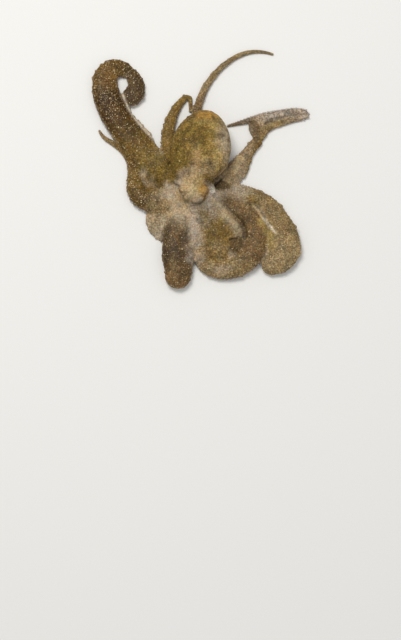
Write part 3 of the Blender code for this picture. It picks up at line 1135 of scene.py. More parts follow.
STREAKS = (  # path, half width, tone, strength, highest level
    Streak(((14, -20.6), (21, -25.6), (27, -32.6), (31, -41), (31, -51)), 4.4, Tone.PURPLE, 0.9),
    Streak(((12.4, -19.6), (19, -26.4), (26, -34.2), (28.6, -44)), 3, Tone.DARK, 0.5),
    Streak(LOBE_RIM, 3, Tone.PALE_RIM, 0.9),
    Streak(PALE_RIDGE, 4.6, Tone.PINK_TAN, 0.9),
    Streak(PALE_RIDGE, 3, Tone.LILAC, 0.6),
    # Partly the third left arm's own pinkish root, partly painted light against the mantle's shadow on it.
    Streak(((15, -12), (20.6, -3), (26, 7)), 4.4, Tone.CREAM, 0.75),
    Streak(((29, -9), (31.6, 2), (35.6, 11.4), (41, 18.4)), 2.2, Tone.OCHRE, 0.9),
    Streak(((42, 21), (50, 24.5), (58, 27)), 1, Tone.OCHRE, 0.7),
    Streak(((36, -33), (40.6, -40), (43, -47), (43, -55)), 2.8, Tone.GOLD, 0.9),
    Streak(((31.6, -24.4), (36, -30), (40.6, -36.4), (46, -44)), 0.9, Tone.CREAM, 1),
    Streak(((38, -32.6), (41.4, -37.4), (46.2, -44.4)), 0.9, Tone.BONE, 1),
    Streak(((-47.9, 49.6), (-43.4, 37.6), (-37.3, 28), (-25.9, 15.4)), 0.8, Tone.BONE, 1, 8),
    Streak(((-8, -50), (-6, -56), (-5.6, -63)), 1.8, Tone.LILAC, 0.4),
    Streak(((2.4, -29), (2.6, -33), (4.4, -39), (7, -44)), 3, Tone.OLIVE, 0.6),
    Streak(((-0.4, 3), (-1.2, -2.2), (-1.8, -8), (-1.8, -14.6)), 2.2, Tone.ROSE, 0.35),
)

BLOTCH_ROWS = (  # place, half lengths, bearing, tone, strength, lowest and highest level
    ((-18, -3), (12, 12), -30, Tone.OLIVE, 1),
    ((-20, -1), (7, 9), -30, Tone.BROWN, 0.7),
    ((-27, -13), (8, 7), -30, Tone.BROWN, 0.6),
    ((-24, -27), (8, 6), 0, Tone.UMBER, 0.85),
    ((-27, -37), (6, 7), 20, Tone.TAN, 0.6),
    ((-8.4, 10.2), (7, 11), 15, Tone.OLIVE, 0.7, 9),
    ((4, 10.5), (7, 6), 0, Tone.OLIVE, 0.75, 14),
    ((-3.4, 17.6), (7.6, 4.6), 20, Tone.OLIVE, 0.7, 12),
    ((10.2, 9.6), (2.8, 2.4), 0, Tone.BROWN, 0.7, 14),
    ((-9, -2), (4, 8), 10, Tone.OLIVE, 0.6, 12),
    ((12.6, 12), (7.4, 17), -6, Tone.GOLD, 0.5, 5),
    ((15, 12), (5.6, 18), -6, Tone.PALE_RIM, 0.6, 4),
    ((17, 10), (4.2, 17), -6, Tone.PINK_TAN, 0.6, 3),
    ((10.5, -3.5), (7, 9), -25, Tone.GOLD, 0.25, 9),
    ((4.6, 23.6), (9, 5), 0, Tone.GOLD, 0.5, 9),
    ((6, -8), (7, 6), -25, Tone.PINK_TAN, 0.3, 12),
    ((4, 29), (8.6, 6), 0, Tone.AMBER, 0.9, 6),
    ((0.5, -4), (5, 9), 5, Tone.GOLD, 0.3, 15),
    ((-2, -10.8), (7, 4.6), 5, Tone.PINK_TAN, 0.45, 15),
    ((-9.8, -13), (4.6, 4.6), 20, Tone.LILAC, 0.6, 9),
    # The head's own pale tan, brightened further as painted light against the shade on its sloping front.
    ((-5, -19), (8.5, 8), 10, Tone.CREAM, 0.95, 7),
    ((0, -17), (4, 5), 10, Tone.GOLD, 0.5, 12),
    ((3, -21), (3.2, 4.6), 20, Tone.AMBER, 0.8, 10),
    # The funnel's own pale lilac, brightened further as painted light where the head shades it.
    ((8.4, -23), (4, 7.6), 15, Tone.WHITE_LILAC, 0.8, -2, 14),
    ((11.5, -26), (5, 3), -45, Tone.LILAC, 0.6, -2, 14),
    ((-14, -27), (10, 9), 0, Tone.CREAM, 0.3, -2, 14),
    # Painted light on the head's front wall and foot, against their shade.
    ((-3, -28.5), (7, 4.5), 0, Tone.CREAM, 0.6, -2, 14),
    ((-28, 0.5), (10, 11), 0, Tone.OLIVE, 0.95),
    ((12.5, -47), (12, 15), -14, Tone.UMBER, 0.85),
    ((11.6, -46.6), (9.6, 15), -16, Tone.OCHRE, 1),
    ((11, -42), (7.4, 11), -25, Tone.OLIVE, 0.7),
    ((12, -44), (7, 10), -25, Tone.BROWN, 0.5),
    ((8, -31.4), (4, 4.6), 30, Tone.GREY_LILAC, 0.6),
    ((11.4, -52), (6, 5), 10, Tone.TAN, 0.55),
    ((23.6, -50), (5.4, 9), -24, Tone.PURPLE, 0.8),
    ((22.4, -51), (3.6, 6), -24, Tone.DARK, 0.6),
    ((-2, -59), (6, 5), 30, Tone.LILAC, 0.5),
    ((-9.4, -52.6), (3.4, 2.6), 20, Tone.PURPLE, 0.8),
    ((-13.8, -47), (2.6, 5), 10, Tone.PURPLE, 0.6),
    ((-15.6, -60), (3, 5), 0, Tone.UMBER, 0.5),
    ((14, -66), (6, 3.4), 8, Tone.LILAC, 0.4),
    # Painted shadow under the mantle's gaping edge, on the roots beside the funnel.
    ((13.5, -13.5), (8.5, 3.4), 12, Tone.DARK, 0.85, -2, 9),
    ((32, -23), (6, 4), -30, Tone.OLIVE, 0.6),
    ((34.4, 25), (4.4, 6.8), 10, Tone.PURPLE, 0.9),
)
BLOTCHES = tuple(Blotch(*row) for row in BLOTCH_ROWS)


# ---- the skin


@dataclass(frozen=True)
class Relief:
    """What makes the skin uneven: heights and widths in millimetres."""

    lump: float = 0.16
    lump_size: float = 3.6
    lump_under: float = 0.35  # part of the lumps' height on sides and underside
    pimple: float = 0.10
    pimple_size: float = 1.5
    wart: float = 0.9
    wart_size: float = 2.3
    wart_least: float = 0.42  # noise below which no wart grows
    fringe: float = 1.1
    fringe_size: float = 1.5
    fringe_least: float = 0.05
    scallop: float = 0.10
    scallop_pitch: tuple = (1.1, 0.16)  # its least, and what it grows by with the arm's width
    thin: tuple = (1.5, 6.0)  # an arm is smooth below the first width, and uneven above the second
    top: tuple = (-0.2, 0.5)  # rise of the surface's direction from side to top
    side: tuple = (0.8, 0.4)  # and from top or underside to side
    edge: tuple = (0.75, 1.0)  # distances from the centreline, in half widths
    off_head: tuple = (0.9, 1.2)  # distances from the head, in its reaches

    def move(self, points: Array, out: Array, near: Nearest, on_mantle: Array, off: Array) -> Array:
        """Soft lumps everywhere, warts on top, a fringe and scallops at the arms' edges.

        Args:
            points: Places, (n, 3).
            out: Directions out of the surface.
            near: The arm sample of each.
            on_mantle: How far each belongs to the mantle.
            off: Its distance from the head, in the head's reaches.

        Returns:
            Moves in millimetres along the directions out.
        """
        bare = 1.0 - on_mantle
        thick = smoothstep(*self.thin, near.width) * bare + on_mantle
        top = smoothstep(*self.top, out[:, 2])
        side = smoothstep(*self.side, np.abs(out[:, 2])) * bare * smoothstep(*self.off_head, off)
        edge = smoothstep(*self.edge, np.abs(near.left) / np.maximum(near.width / 2, 0.1)) * bare
        lumps = self.lump * fractal(points, self.lump_size, 11)
        lumps += self.pimple * noise(points, self.pimple_size, 12)
        warts = self.wart * np.maximum(noise(points, self.wart_size, 13) - self.wart_least, 0.0)
        fringe = self.fringe * np.maximum(noise(points, self.fringe_size, 51) - self.fringe_least, 0.0)
        turns = near.along / (self.scallop_pitch[0] + self.scallop_pitch[1] * near.width)
        scallop = self.scallop * np.cos(2 * math.pi * turns) * edge
        lumps *= self.lump_under + (1.0 - self.lump_under) * top
        return thick * (lumps + warts * top + fringe * side + scallop)


@dataclass(frozen=True)
class Markings:
    """The skin's tones, and how dense pale flecks and dark net lie over them."""

    web_flecks: float = 0.12
    web_net: float = 0.3
    arm_net: float = 0.75
    mantle_flecks: float = 0.06
    mantle_net: float = 0.9
    arm_edge: tuple = (2.0, -1.5)  # distances past an arm's edge over which its tones begin
    root_ease: tuple = (-9.0, 5.0)  # and distances past its root
    pale_from: float = 0.33  # a mark with more red than this is pale
    pale_net: float = 0.3
    dark_net: float = 0.8
    pale_clears: float = 0.8  # part of the flecks that a pale mark takes away
    wobble: tuple = (4.0, 21)  # size and seed
    mottle: tuple = ((0.19, 6.0, 31), (0.20, 2.2, 41))  # strength, size and seed of each layer
    mantle_mottle: float = 0.7  # how much stronger the mottling is on the mantle
    under: tuple = (-0.25, -0.7)  # rise of the surface's direction from side to underside
    under_levels: tuple = (3.0, 2.0)

    def on_arms(self, near: Nearest) -> tuple:
        """The arms' own markings over those of web and crown.

        Args:
            near: The arm sample of each corner.

        Returns:
            Colours (n, 3), flecks (n, 1) and net (n, 1).
        """
        n = len(near.arm)
        colour = np.tile(np.array(Tone.PINK_TAN.value), (n, 1))
        flecks, net = np.full((n, 1), self.web_flecks), np.full((n, 1), self.web_net)
        for index, arm in enumerate(ARMS):
            shares, tones = zip(*arm.tones)
            bands = zip(*(tone.value for tone in tones))
            own = np.stack([np.interp(near.share, shares, band) for band in bands], axis=-1)
            weight = smoothstep(*self.arm_edge, near.outside) * (near.arm == index)
            low, high = self.root_ease
            weight = (weight * smoothstep(arm.root + low, arm.root + high, near.along))[:, None]
            colour = blended(colour, own, weight)
            flecks = blended(flecks, np.interp(near.share, *zip(*arm.flecks))[:, None], weight)
            net = blended(net, self.arm_net, weight)
        return colour, flecks, net

    def paint(self, points: Array, out: Array, near: Nearest, on_mantle: Array) -> tuple:
        """The tone, and the densities of pale flecks and dark net, at each corner.

        Args:
            points: Places, (n, 3).
            out: Directions out of the surface.
            near: The arm sample of each.
            on_mantle: How far each belongs to the mantle.

        Returns:
            Colours (n, 3), flecks (n) and net (n).
        """
        colour, flecks, net = self.on_arms(near)
        on_mantle = on_mantle[:, None]
        colour = blended(colour, np.array(Tone.OCHRE.value), on_mantle)
        flecks = blended(flecks, self.mantle_flecks, on_mantle)
        net = blended(net, self.mantle_net, on_mantle)
        wobble = fractal(points, *self.wobble)
        for mark in (*BLOTCHES, *STREAKS):
            weight = mark.weight(points, wobble)[:, None]
            pale = mark.tone.value[0] > self.pale_from
            colour = blended(colour, np.array(mark.tone.value), weight)
            net = blended(net, self.pale_net if pale else self.dark_net, weight)
            flecks = flecks * (1.0 - self.pale_clears * weight * pale)
        mottle = sum(share * fractal(points, size, seed) for share, size, seed in self.mottle)
        colour = colour * (1 + mottle[:, None] * (1 + self.mantle_mottle * on_mantle))
        under = smoothstep(*self.under, out[:, 2]) * smoothstep(*self.under_levels, points[:, 2])
        under = under[:, None]
        colour = blended(colour, np.array(Tone.BONE.value), under)
        return colour, (flecks * (1 - under))[:, 0], (net * (1 - under))[:, 0]


@dataclass
class Skin:
    """The one skin over crown, head, mantle, funnel, webs and all eight arms."""

    mantle: Mantle = Mantle()
    funnel: Funnel = Funnel()
    arms: ArmField = field(default_factory=ArmField)
    relief: Relief = Relief()
    markings: Markings = Markings()
    soften: int = 6  # rounds of evening out all over
    blend: int = 26  # more rounds where crown, head and arms run together
    hub: tuple = (-3.0, -17.0)  # the middle of that place, and its half sizes
    hub_half: tuple = (30.0, 26.0)
    hub_edge: tuple = (1.15, 0.75)
    off_mantle: tuple = (1.02, 1.12)  # distances from the mantle, in its half sizes
    soft_spots: tuple = (  # (place, half sizes, rounds) where two bodies run into each other
        ((-3.4, -13.0, 21.5), (10.5, 8.0, 7.0), 160),
        ((-2.2, -30.0, 6.0), (8.0, 4.6, 5.0), 120),
    )
    spot_edge: tuple = (1.1, 0.6)
    spot_share: float = 0.6
    head_spot: tuple = (-2.0, -19.0, 12.0)
    head_reach: float = 14.0  # the mesh is finer this near the head
    head_soften: int = 3
    head_rim: float = 1.05  # the finer mesh and its seam, in reaches
    round_off: int = 2  # rounds after the lids are made
    round_share: float = 0.4
    lid_free: tuple = (0.6, 1.4)  # distances past an eye's radius where those rounds set in
    lip_free: tuple = (2.6, 4.6)  # distances from the funnel's mouth where the skin is uneven
    fit_root: tuple = (4.0, 12.0)  # distances past an arm's root over which it is fitted
    fit_edge: tuple = (1.2, 0.6)  # distances past its edge
    fit_top: tuple = (2.4, 1.4)  # distances above it
    tip_share: float = 0.999  # part of an arm past which its tip is rounded
    tip_most: float = 0.995

    def first_mesh(self) -> Piece:
        """All bodies run together into one closed mesh of even quads.

        Returns:
            The skin's object.
        """
        eggs = (HEAD, NECK, CROWN, *CROWN_WEBS, WEB_FRONT, WEB_FOLD)
        bodies = [arm_body(arm) for arm in ARMS] + [tube(egg.surface()) for egg in eggs]
        bodies += [eye.bulge() for eye in EYES] + [self.mantle.body(), self.funnel.body()]
        skin = new_object("skin", joined(bodies))
        remesh = skin.modifiers.new("one_skin", "REMESH")
        remesh.mode = "VOXEL"
        remesh.voxel_size = VOXEL * MM
        settle(skin)
        return skin

    def near_head(self, points: Array) -> Array:
        """The distance of each place from the middle of the head, in reaches."""
        return norms(points - self.head_spot) / self.head_reach

    def refine_head(self, skin: Piece) -> None:
        """Splits each edge round the head in two, for lids and folds.

        Args:
            skin: The skin's object, whose mesh is changed.
        """
        body = bmesh.new()
        body.from_mesh(skin.data)
        body.verts.ensure_lookup_table()
        inside = self.near_head(place_of(skin.data)) < 1.0
        edges = [e for e in body.edges if inside[e.verts[0].index] and inside[e.verts[1].index]]
        bmesh.ops.subdivide_edges(body, edges=edges, cuts=1, use_grid_fill=True)
        body.to_mesh(skin.data)
        body.free()

    def softened(self, points: Array, pairs: Array) -> Array:
        """Evens out the first mesh, most where its bodies run into each other.

        Args:
            points: Places, (n, 3).
            pairs: The two corners of each edge.

        Returns:
            The relaxed places.
        """
        points = relax(points, pairs, self.soften, np.full(len(points), 0.5))
        hub = smoothstep(*self.hub_edge, norms((points[:, :2] - self.hub) / self.hub_half))
        off_mantle = smoothstep(*self.off_mantle, self.mantle.egg.far(points))
        points = relax(points, pairs, self.blend, 0.5 * hub * off_mantle)
        for place, half, rounds in self.soft_spots:
            near = smoothstep(*self.spot_edge, norms((points - place) / half))
            points = relax(points, pairs, rounds, self.spot_share * near)
        return points

    def fit_arms(self, points: Array) -> Array:
        """Brings the thin lengths of the arms to their true section.

        Args:
            points: Places, (n, 3).

        Returns:
            The places, those on thin lengths put on the section at the same angle.
        """
        near = self.arms.nearest(points)
        built_width = np.maximum(near.width, LEAST_BUILT)
        built_height = np.maximum(near.height, near.lift + LEAST_BUILT)
        middle = widest_level(built_height, near.lift)
        tall = np.where(points[:, 2] > middle, built_height - middle, middle - near.lift)
        angle = np.arctan2((points[:, 2] - middle) / np.maximum(tall, 1e-3), near.left / (built_width / 2))
        across, level = section(angle, near.width, near.height, near.lift)
        tip = near.share > self.tip_share
        past = np.clip(near.ahead / (built_width / 2), 0.0, self.tip_most) * tip
        shrink = np.sqrt(1 - past**2)
        sideways = across * shrink - near.left
        forward = past * near.width / 2 - np.clip(near.ahead, 0, None) * tip
        ahead, left = near.ways
        fitted = points.copy()
        fitted[:, :2] += left * sideways[:, None] + ahead * forward[:, None]
        fitted[:, 2] = blended(widest_level(near.height, near.lift), level, shrink)
        return blended(points, fitted, self.fit_weight(points, near)[:, None])

    def fit_weight(self, points: Array, near: Nearest) -> Array:
        """How far each place is brought to its arm's section.

        Args:
            points: Places, (n, 3).
            near: The arm sample of each.

        Returns:
            From 0 to 1: 1 on a thin length past the web, and 0 on the mantle above it.
        """
        root = np.array([arm.root for arm in ARMS])[near.arm]
        webbed = np.array([arm.webbed for arm in ARMS])[near.arm]
        weight = smoothstep(FIT_BELOW[1], FIT_BELOW[0], near.width) * ~webbed
        weight *= smoothstep(root + self.fit_root[0], root + self.fit_root[1], near.along)
        weight *= smoothstep(*self.fit_edge, near.outside)
        weight *= smoothstep(*self.fit_top, points[:, 2] - near.height)
        return weight * (1.0 - self.mantle.share(points))

    def folded(self, points: Array, out: Array) -> tuple:
        """Presses in the creases and makes the skin uneven.

        Args:
            points: Places, (n, 3).
            out: Directions out of the surface.

        Returns:
            The moved places, and the painted shade that the creases' grooves give each, from 0 to 1.
        """
        moves, fold_shades = zip(*(crease.press(points) for crease in CREASES))
        near, on_mantle = self.arms.nearest(points), self.mantle.share(points)
        uneven = self.relief.move(points, out, near, on_mantle, self.near_head(points))
        move = sum(moves) + uneven * smoothstep(*self.lip_free, self.funnel.mouth(points))
        return points + out * move[:, None], np.max(fold_shades, axis=0)

    def opened(self, points: Array, pairs: Array) -> Array:
        """Opens the lids and the funnel, and rounds the head off between them.

        Args:
            points: Places, (n, 3).
            pairs: The two corners of each edge.

        Returns:
            The moved places.
        """
        for eye in EYES:
            points = eye.lidded(points)
        points = self.funnel.hollow(points)
        share = self.round_share * (self.near_head(points) < 1.0)
        for eye in EYES:
            low, high = (eye.radius() + past for past in self.lid_free)
            share = share * smoothstep(low, high, eye.away(points))
        points = relax(points, pairs, self.round_off, share)
        for eye in EYES:
            points = eye.cleared(points)
        return points

    def sculpt(self, skin: Piece) -> Array:
        """Gives the first mesh its even surface, thin arms, creases, warts, lids and funnel, and works out
        the painted shade in the creases.

        Args:
            skin: The skin's object, whose mesh is changed.

        Returns:
            The painted shade that the creases' grooves give each corner, from 0 to 1.
        """
        mesh = skin.data
        set_place(mesh, self.softened(place_of(mesh), edge_pairs(mesh)))
        self.refine_head(skin)
        pairs, points = edge_pairs(mesh), place_of(mesh)
        points = relax(points, pairs, self.head_soften, 0.5 * (self.near_head(points) < self.head_rim))
        points = self.fit_arms(points)
        set_place(mesh, points)
        points, fold_shades = self.folded(points, normals_of(mesh))
        points = self.opened(points, pairs)
        points[:, 2] = np.maximum(points[:, 2], FLOOR_GAP)
        set_place(mesh, points)
        return fold_shades

    def build(self) -> Piece:
        """Makes, sculpts and colours the skin, and puts it in place of every node of flesh.

        Returns:
            The piece.
        """
        skin = self.first_mesh()
        fold_shades = self.sculpt(skin)
        mesh = skin.data
        mesh.shade_smooth()
        points = place_of(mesh)
        near, on_mantle = self.arms.nearest(points), self.mantle.share(points)
        colour, flecks, net = self.markings.paint(points, normals_of(mesh), near, on_mantle)
        write_colour(mesh, "tone", colour)
        # The last attribute holds the painted shade in the creases' grooves.
        for name, values in (("flecks", flecks), ("net", net), ("fold", fold_shades)):
            write_value(mesh, name, values)
        flesh = [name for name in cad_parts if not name.startswith("eye_")]
        mesh.materials.clear()
        mesh.materials.append(SkinFinish().material("octopus_skin"))
        return adopt(skin, flesh)


# ---- suckers


@dataclass(frozen=True)
class Cups:
    """Many suckers: where each stands, which way it faces, its radius and its length."""

    places: Array
    ways: Array
    radii: Array
    lengths: Array

    def shaped(self, cup: Array) -> Array:
        """Puts a copy of one cup at each place.

        Args:
            cup: The corners of a cup of unit radius standing along Z, (corners, 3).

        Returns:
            Corner places, (cups, corners, 3), none below the floor.
        """
        upright = np.abs(self.ways[:, 2:]) > 0.9
        side = np.cross(np.where(upright, (1.0, 0.0, 0.0), (0.0, 0.0, 1.0)), self.ways)
        side /= norms(side)[:, None]
        front = np.cross(self.ways, side)
        x, y, z = cup.T[:, None, :, None]
        points = self.places[:, None] + self.radii[:, None, None] * (x * side[:, None] + y * front[:, None])
        points = points + self.lengths[:, None, None] * z * self.ways[:, None]
        points[..., 2] = np.maximum(points[..., 2], 0.0)
        return points


@dataclass
class Suckers:
    """Two rows of small cups along each arm's underside, joined in one mesh."""

    profile: tuple = (  # (radius, level) from the stalk out to the rim and into the bowl
        (0.62, -0.35), (0.74, 0.15), (1.0, 0.52), (0.86, 0.68), (0.45, 0.34),
    )
    sides: int = 8
    first: float = 9.0  # millimetres from the root to the first pair
    last: float = 0.4  # and from the last pair to the tip
    pitch: tuple = (0.65, 0.12)  # from one pair to the next: its least, and its growth with width
    widest: float = 15.0  # width above which the pitch grows no more
    radius: tuple = (0.26, 0.055)  # a cup's radius: its least, and its growth with width
    radius_limits: tuple = (0.3, 1.1)
    under: float = -90.0  # angle of the section's lowest point, in degrees
    stagger: float = 0.5  # how far the second row is ahead of the first, in pitches
    nudge: float = 1e-3  # radians along the section that give its direction

    def cup(self) -> Patch:
        """One cup of unit radius standing on the skin along Z.

        Returns:
            The profile turned about Z.
        """
        radius, level = np.array(self.profile).T[:, :, None]
        angle = circle(self.sides)
        around = (radius * np.cos(angle), radius * np.sin(angle), level + 0 * angle)
        return tube(np.stack(around, axis=-1))

    def pairs(self, arm: Arm, trace: Trace) -> Array:
        """Where an arm's pairs of cups stand, closer where the arm is thin.

        Args:
            arm: The arm.
            trace: Its centreline.

        Returns:
            Their distances from its root.
        """
        at, spots = self.first, []
        while at < trace.along[-1] - self.last:
            spots.append(at)
            width = min(float(np.interp(at, trace.along, trace.width)), self.widest)
            at += arm.cup_size(at / trace.along[-1]) * (self.pitch[0] + self.pitch[1] * width)
        return np.array(spots)

    def row(self, arm: Arm, trace: Trace, along: Array, side: int) -> Cups:
        """One row of an arm's cups.

        Args:
            arm: The arm.
            trace: Its centreline.
            along: The cups' distances from the root.
            side: 1 for the row on the left of travel, -1 for the other.

        Returns:
            The cups, standing square to the section.
        """
        spot, share = trace.at(along), along / trace.along[-1]
        shares, rolls, spreads = zip(*arm.roll)
        spread = side * np.interp(share, shares, spreads)
        angle = np.radians(self.under - np.interp(share, shares, rolls) + spread)
        across, level = section(angle, spot.width, spot.height, spot.lift)
        more, more_level = section(angle + self.nudge, spot.width, spot.height, spot.lift)
        normal = np.stack((more_level - level, across - more), axis=-1)
        normal /= norms(normal)[:, None]
        left = spot.left()
        places = np.column_stack((spot.place + left * across[:, None], level))
        ways = np.column_stack((left * normal[:, :1], normal[:, 1]))
        radius = np.clip(self.radius[0] + self.radius[1] * spot.width, *self.radius_limits)
        size = arm.cup_size(share)
        return Cups(places, ways, radius * np.sqrt(size), radius * size)

    def rows(self, arm: Arm) -> list:
        """Both rows of an arm's cups, the second staggered against the first.

        Args:
            arm: The arm.

        Returns:
            The two rows.
        """
        trace = arm.trace()
        spots = self.pairs(arm, trace)
        ahead = np.minimum(spots + self.stagger * np.gradient(spots), trace.along[-1])
        return [self.row(arm, trace, spots, 1), self.row(arm, trace, ahead, -1)]

    def build(self) -> Piece:
        """Places every cup, all in one mesh, and keeps the lowest on the floor.

        Returns:
            The piece.
        """
        cup = self.cup()
        cups = np.concatenate([row.shaped(cup.verts) for arm in ARMS for row in self.rows(arm)])
        suckers = new_object("suckers", joined(Patch(points, cup.faces) for points in cups))
        suckers.data.materials.append(SuckerFinish().material("octopus_sucker"))
        return adopt(suckers)


# ---- eyes


@dataclass
class Eyeball:
    """A bulging eye with a gold iris and a level slit for a pupil. Angles are in degrees."""

    eye: Eye
    iris: float = 50.0  # from the gaze to the iris's edge
    iris_edge: float = 2.0  # half the width of that edge
    pupil: tuple = (30.0, 7.0)  # half length and half height of the slit
    pupil_edge: tuple = (1.12, 0.92)  # where the slit's edge ends and begins, in half sizes
    pinch: tuple = (0.4, 3.0)  # how much lower the slit is at its middle, and how soon it widens
    front: tuple = (0.5, 60.0, 40)  # angles from the gaze and number of the front rings
    back: tuple = (63.0, 179.5, 30)  # the same behind
    sides: int = 72
    flatten: float = 0.05  # how much the ball is flattened over the iris, in radii
    flat_edge: tuple = (6.0, -8.0)  # past the iris's edge
    cornea: tuple = (0.03, 30.0)  # height of the bulge at its middle, in radii, and its width

    def surface(self) -> Array:
        """The ball, ring by ring round the gaze.

        Returns:
            A grid of places: a sphere, less the flattening, plus a bell curve at its front.
        """
        gaze, level, square = self.eye.axes()
        polar = np.concatenate((np.linspace(*self.front), np.linspace(*self.back)))[:, None]
        around = circle(self.sides)[None, :]
        low, high = (self.iris + past for past in self.flat_edge)
        swell = 1.0 - self.flatten * smoothstep(low, high, polar)
        swell = swell + self.cornea[0] * bell(polar, 0.0, self.cornea[1])
        sine, cosine = np.sin(np.radians(polar)), np.cos(np.radians(polar)) + 0 * around
        x, y = sine * np.cos(around), sine * np.sin(around)
        points = x[..., None] * level + y[..., None] * square + cosine[..., None] * gaze
        return points * (self.eye.radius() * swell)[..., None] + self.eye.centre()

    def mark(self, mesh: Mesh) -> None:
        """Stores where pupil and iris are, and the turn round the gaze for the iris's spokes.

        Args:
            mesh: The ball's mesh.
        """
        gaze, level, square = self.eye.axes()
        way = (place_of(mesh) - self.eye.centre()) / self.eye.radius()
        ahead, across, up = (np.clip(way @ axis, -1, 1) for axis in (gaze, level, square))
        long, high = np.degrees(np.arcsin(across)), np.degrees(np.arcsin(up))
        lower, rate = self.pinch
        high = high * (1 + lower * np.cos(np.radians(long * rate)))
        slit = np.hypot(long / self.pupil[0], high / self.pupil[1])
        angle = np.degrees(np.arccos(ahead))
        edge = (self.iris + self.iris_edge, self.iris - self.iris_edge)
        write_value(mesh, "pupil", smoothstep(*self.pupil_edge, slit) * (ahead > 0))
        write_value(mesh, "iris", smoothstep(*edge, angle))
        write_value(mesh, "spoke", np.arctan2(way @ square, way @ level) / math.pi)

    def build(self) -> Piece:
        """Makes the ball with its parts marked.

        Returns:
            The piece, in place of its node.
        """
        ball = new_object(self.eye.node + "_ball", tube(self.surface()))
        self.mark(ball.data)
        ball.data.materials.append(EyeFinish().material("octopus_eye"))
        return adopt(ball, (self.eye.node,))


def adopt(piece: Piece, nodes: Sequence[str] = ()) -> Piece:
    """Makes a piece ride on the body, and stand for the CAD nodes that it covers.

    Args:
        piece: The finished piece, at the origin.
        nodes: CAD nodes that it stands for.

    Returns:
        The piece.
    """
    if nodes:
        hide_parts(*nodes)
    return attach(piece, BODY)


# ---- finishes


def set_values(node: Node, values: Iterable[tuple]) -> None:
    """Gives some of a node's inputs their values."""
    for name, value in values:
        node.inputs[name].default_value = value


@dataclass
class Graph:
    """Short ways to add nodes to a node tree and join them up."""

    tree: Tree

    def node(self, kind: str, *, settings: Optional[dict] = None, **inputs: object) -> Node:
        """Adds a node.

        Args:
            kind: Type of the node.
            settings: Its own properties.
            **inputs: A value or a socket for each input, its name in lower case with _ for spaces.

        Returns:
            The node.
        """
        made = self.tree.nodes.new(kind)
        for name, value in (settings or {}).items():
            setattr(made, name, value)
        for socket in made.inputs:
            name = socket.name.lower().replace(" ", "_")
            if socket.enabled and name in inputs:
                self.feed(socket, inputs[name])
        return made

    def feed(self, target: Socket, value: object) -> None:
        """Links a socket to an input, or sets the input's value.

        Args:
            target: The input.
            value: A socket, a number or a tuple, a colour's alpha left out.
        """
        if isinstance(value, Socket):
            self.tree.links.new(value, target)
        elif isinstance(value, tuple) and len(value) == 3 and target.type == "RGBA":
            target.default_value = (*value, 1.0)
        else:
            target.default_value = value

    def joined(self, kind: str, operation: str, values: tuple) -> Socket:
        """Adds a node for a sum on numbers or vectors.

        Args:
            kind: Type of the node.
            operation: The sum.
            values: What goes into its inputs, in order.

        Returns:
            The socket of the result.
        """
        made = self.node(kind, settings={"operation": operation})
        for target, value in zip(made.inputs, values):
            self.feed(target, value)
        return made.outputs[0]

    def math(self, operation: str, *values: object) -> Socket:
        """The result of a sum on one, two or three numbers."""
        return self.joined("ShaderNodeMath", operation, values)

    def vector(self, operation: str, *values: object) -> Socket:
        """The result of a sum on two vectors."""
        return self.joined("ShaderNodeVectorMath", operation, values)

    def product(self, first: object, *others: object) -> Socket:
        """The product of two or more numbers."""
        for value in others:
            first = self.math("MULTIPLY", first, value)
        return first

    def ramp(self, value: object, low: float, high: float) -> Socket:
        """Rises smoothly from 0 at `low` to 1 at `high`."""
        kind, smooth = "ShaderNodeMapRange", {"interpolation_type": "SMOOTHSTEP"}
        return self.node(kind, settings=smooth, value=value, from_min=low, from_max=high).outputs[0]

    def mix(self, share: object, a: object, b: object, blend: str = "MIX") -> Socket:
        """Mixes two colours.

        Args:
            share: Part of the second colour.
            a: The first colour or its socket.
            b: The second.
            blend: How they are combined.

        Returns:
            The socket of the mixed colour.
        """
        made = self.node("ShaderNodeMix", settings={"data_type": "RGBA", "blend_type": blend})
        for index, value in ((0, share), (6, a), (7, b)):
            self.feed(made.inputs[index], value)
        return made.outputs[2]

    def times(self, colour: object, factor: tuple) -> Socket:
        """A colour with its red, green and blue multiplied."""
        return self.mix(1.0, colour, factor, "MULTIPLY")

    def noise(self, place: Socket, scale: object, detail: float, roughness: float = 0.5) -> Node:
        """A noise texture, with `detail` finer layers whose strength is the roughness."""
        kind = "ShaderNodeTexNoise"
        return self.node(kind, vector=place, scale=scale, detail=detail, roughness=roughness)

    def attribute(self, name: str) -> Node:
        """Reads one of the mesh's own attributes."""
        return self.node("ShaderNodeAttribute", settings={"attribute_name": name})

    def value(self, name: str) -> Socket:
        """One of the mesh's own attributes as a number."""
        return self.attribute(name).outputs["Fac"]

    def place(self) -> Socket:
        """The place on the object, in metres."""
        return self.node("ShaderNodeTexCoord").outputs["Object"]

    def group(self, tree: Tree, **inputs: object) -> Node:
        """Adds a shared node group, its inputs given as for `node`."""
        return self.node("ShaderNodeGroup", settings={"node_tree": tree}, **inputs)


def new_group(name: str, inputs: Sequence[str], outputs: Sequence[str]) -> tuple:
    """An empty shader node group that looks up an effect by place.

    Args:
        name: Its name.
        inputs: Names of the numbers it takes besides the place.
        outputs: Names of the numbers it gives.

    Returns:
        The group's graph, the node that gives its inputs and the one that takes its outputs.
    """
    tree = bpy.data.node_groups.new(name, "ShaderNodeTree")
    tree.interface.new_socket("Place", in_out="INPUT", socket_type="NodeSocketVector")
    for way, labels in (("INPUT", inputs), ("OUTPUT", outputs)):
        for label in labels:
            tree.interface.new_socket(label, in_out=way, socket_type="NodeSocketFloat")
    return Graph(tree), tree.nodes.new("NodeGroupInput"), tree.nodes.new("NodeGroupOutput")


def per_metre(size: float) -> float:
    """The texture scale that makes a feature `size` millimetres wide."""
    return 1.0 / (size * MM)


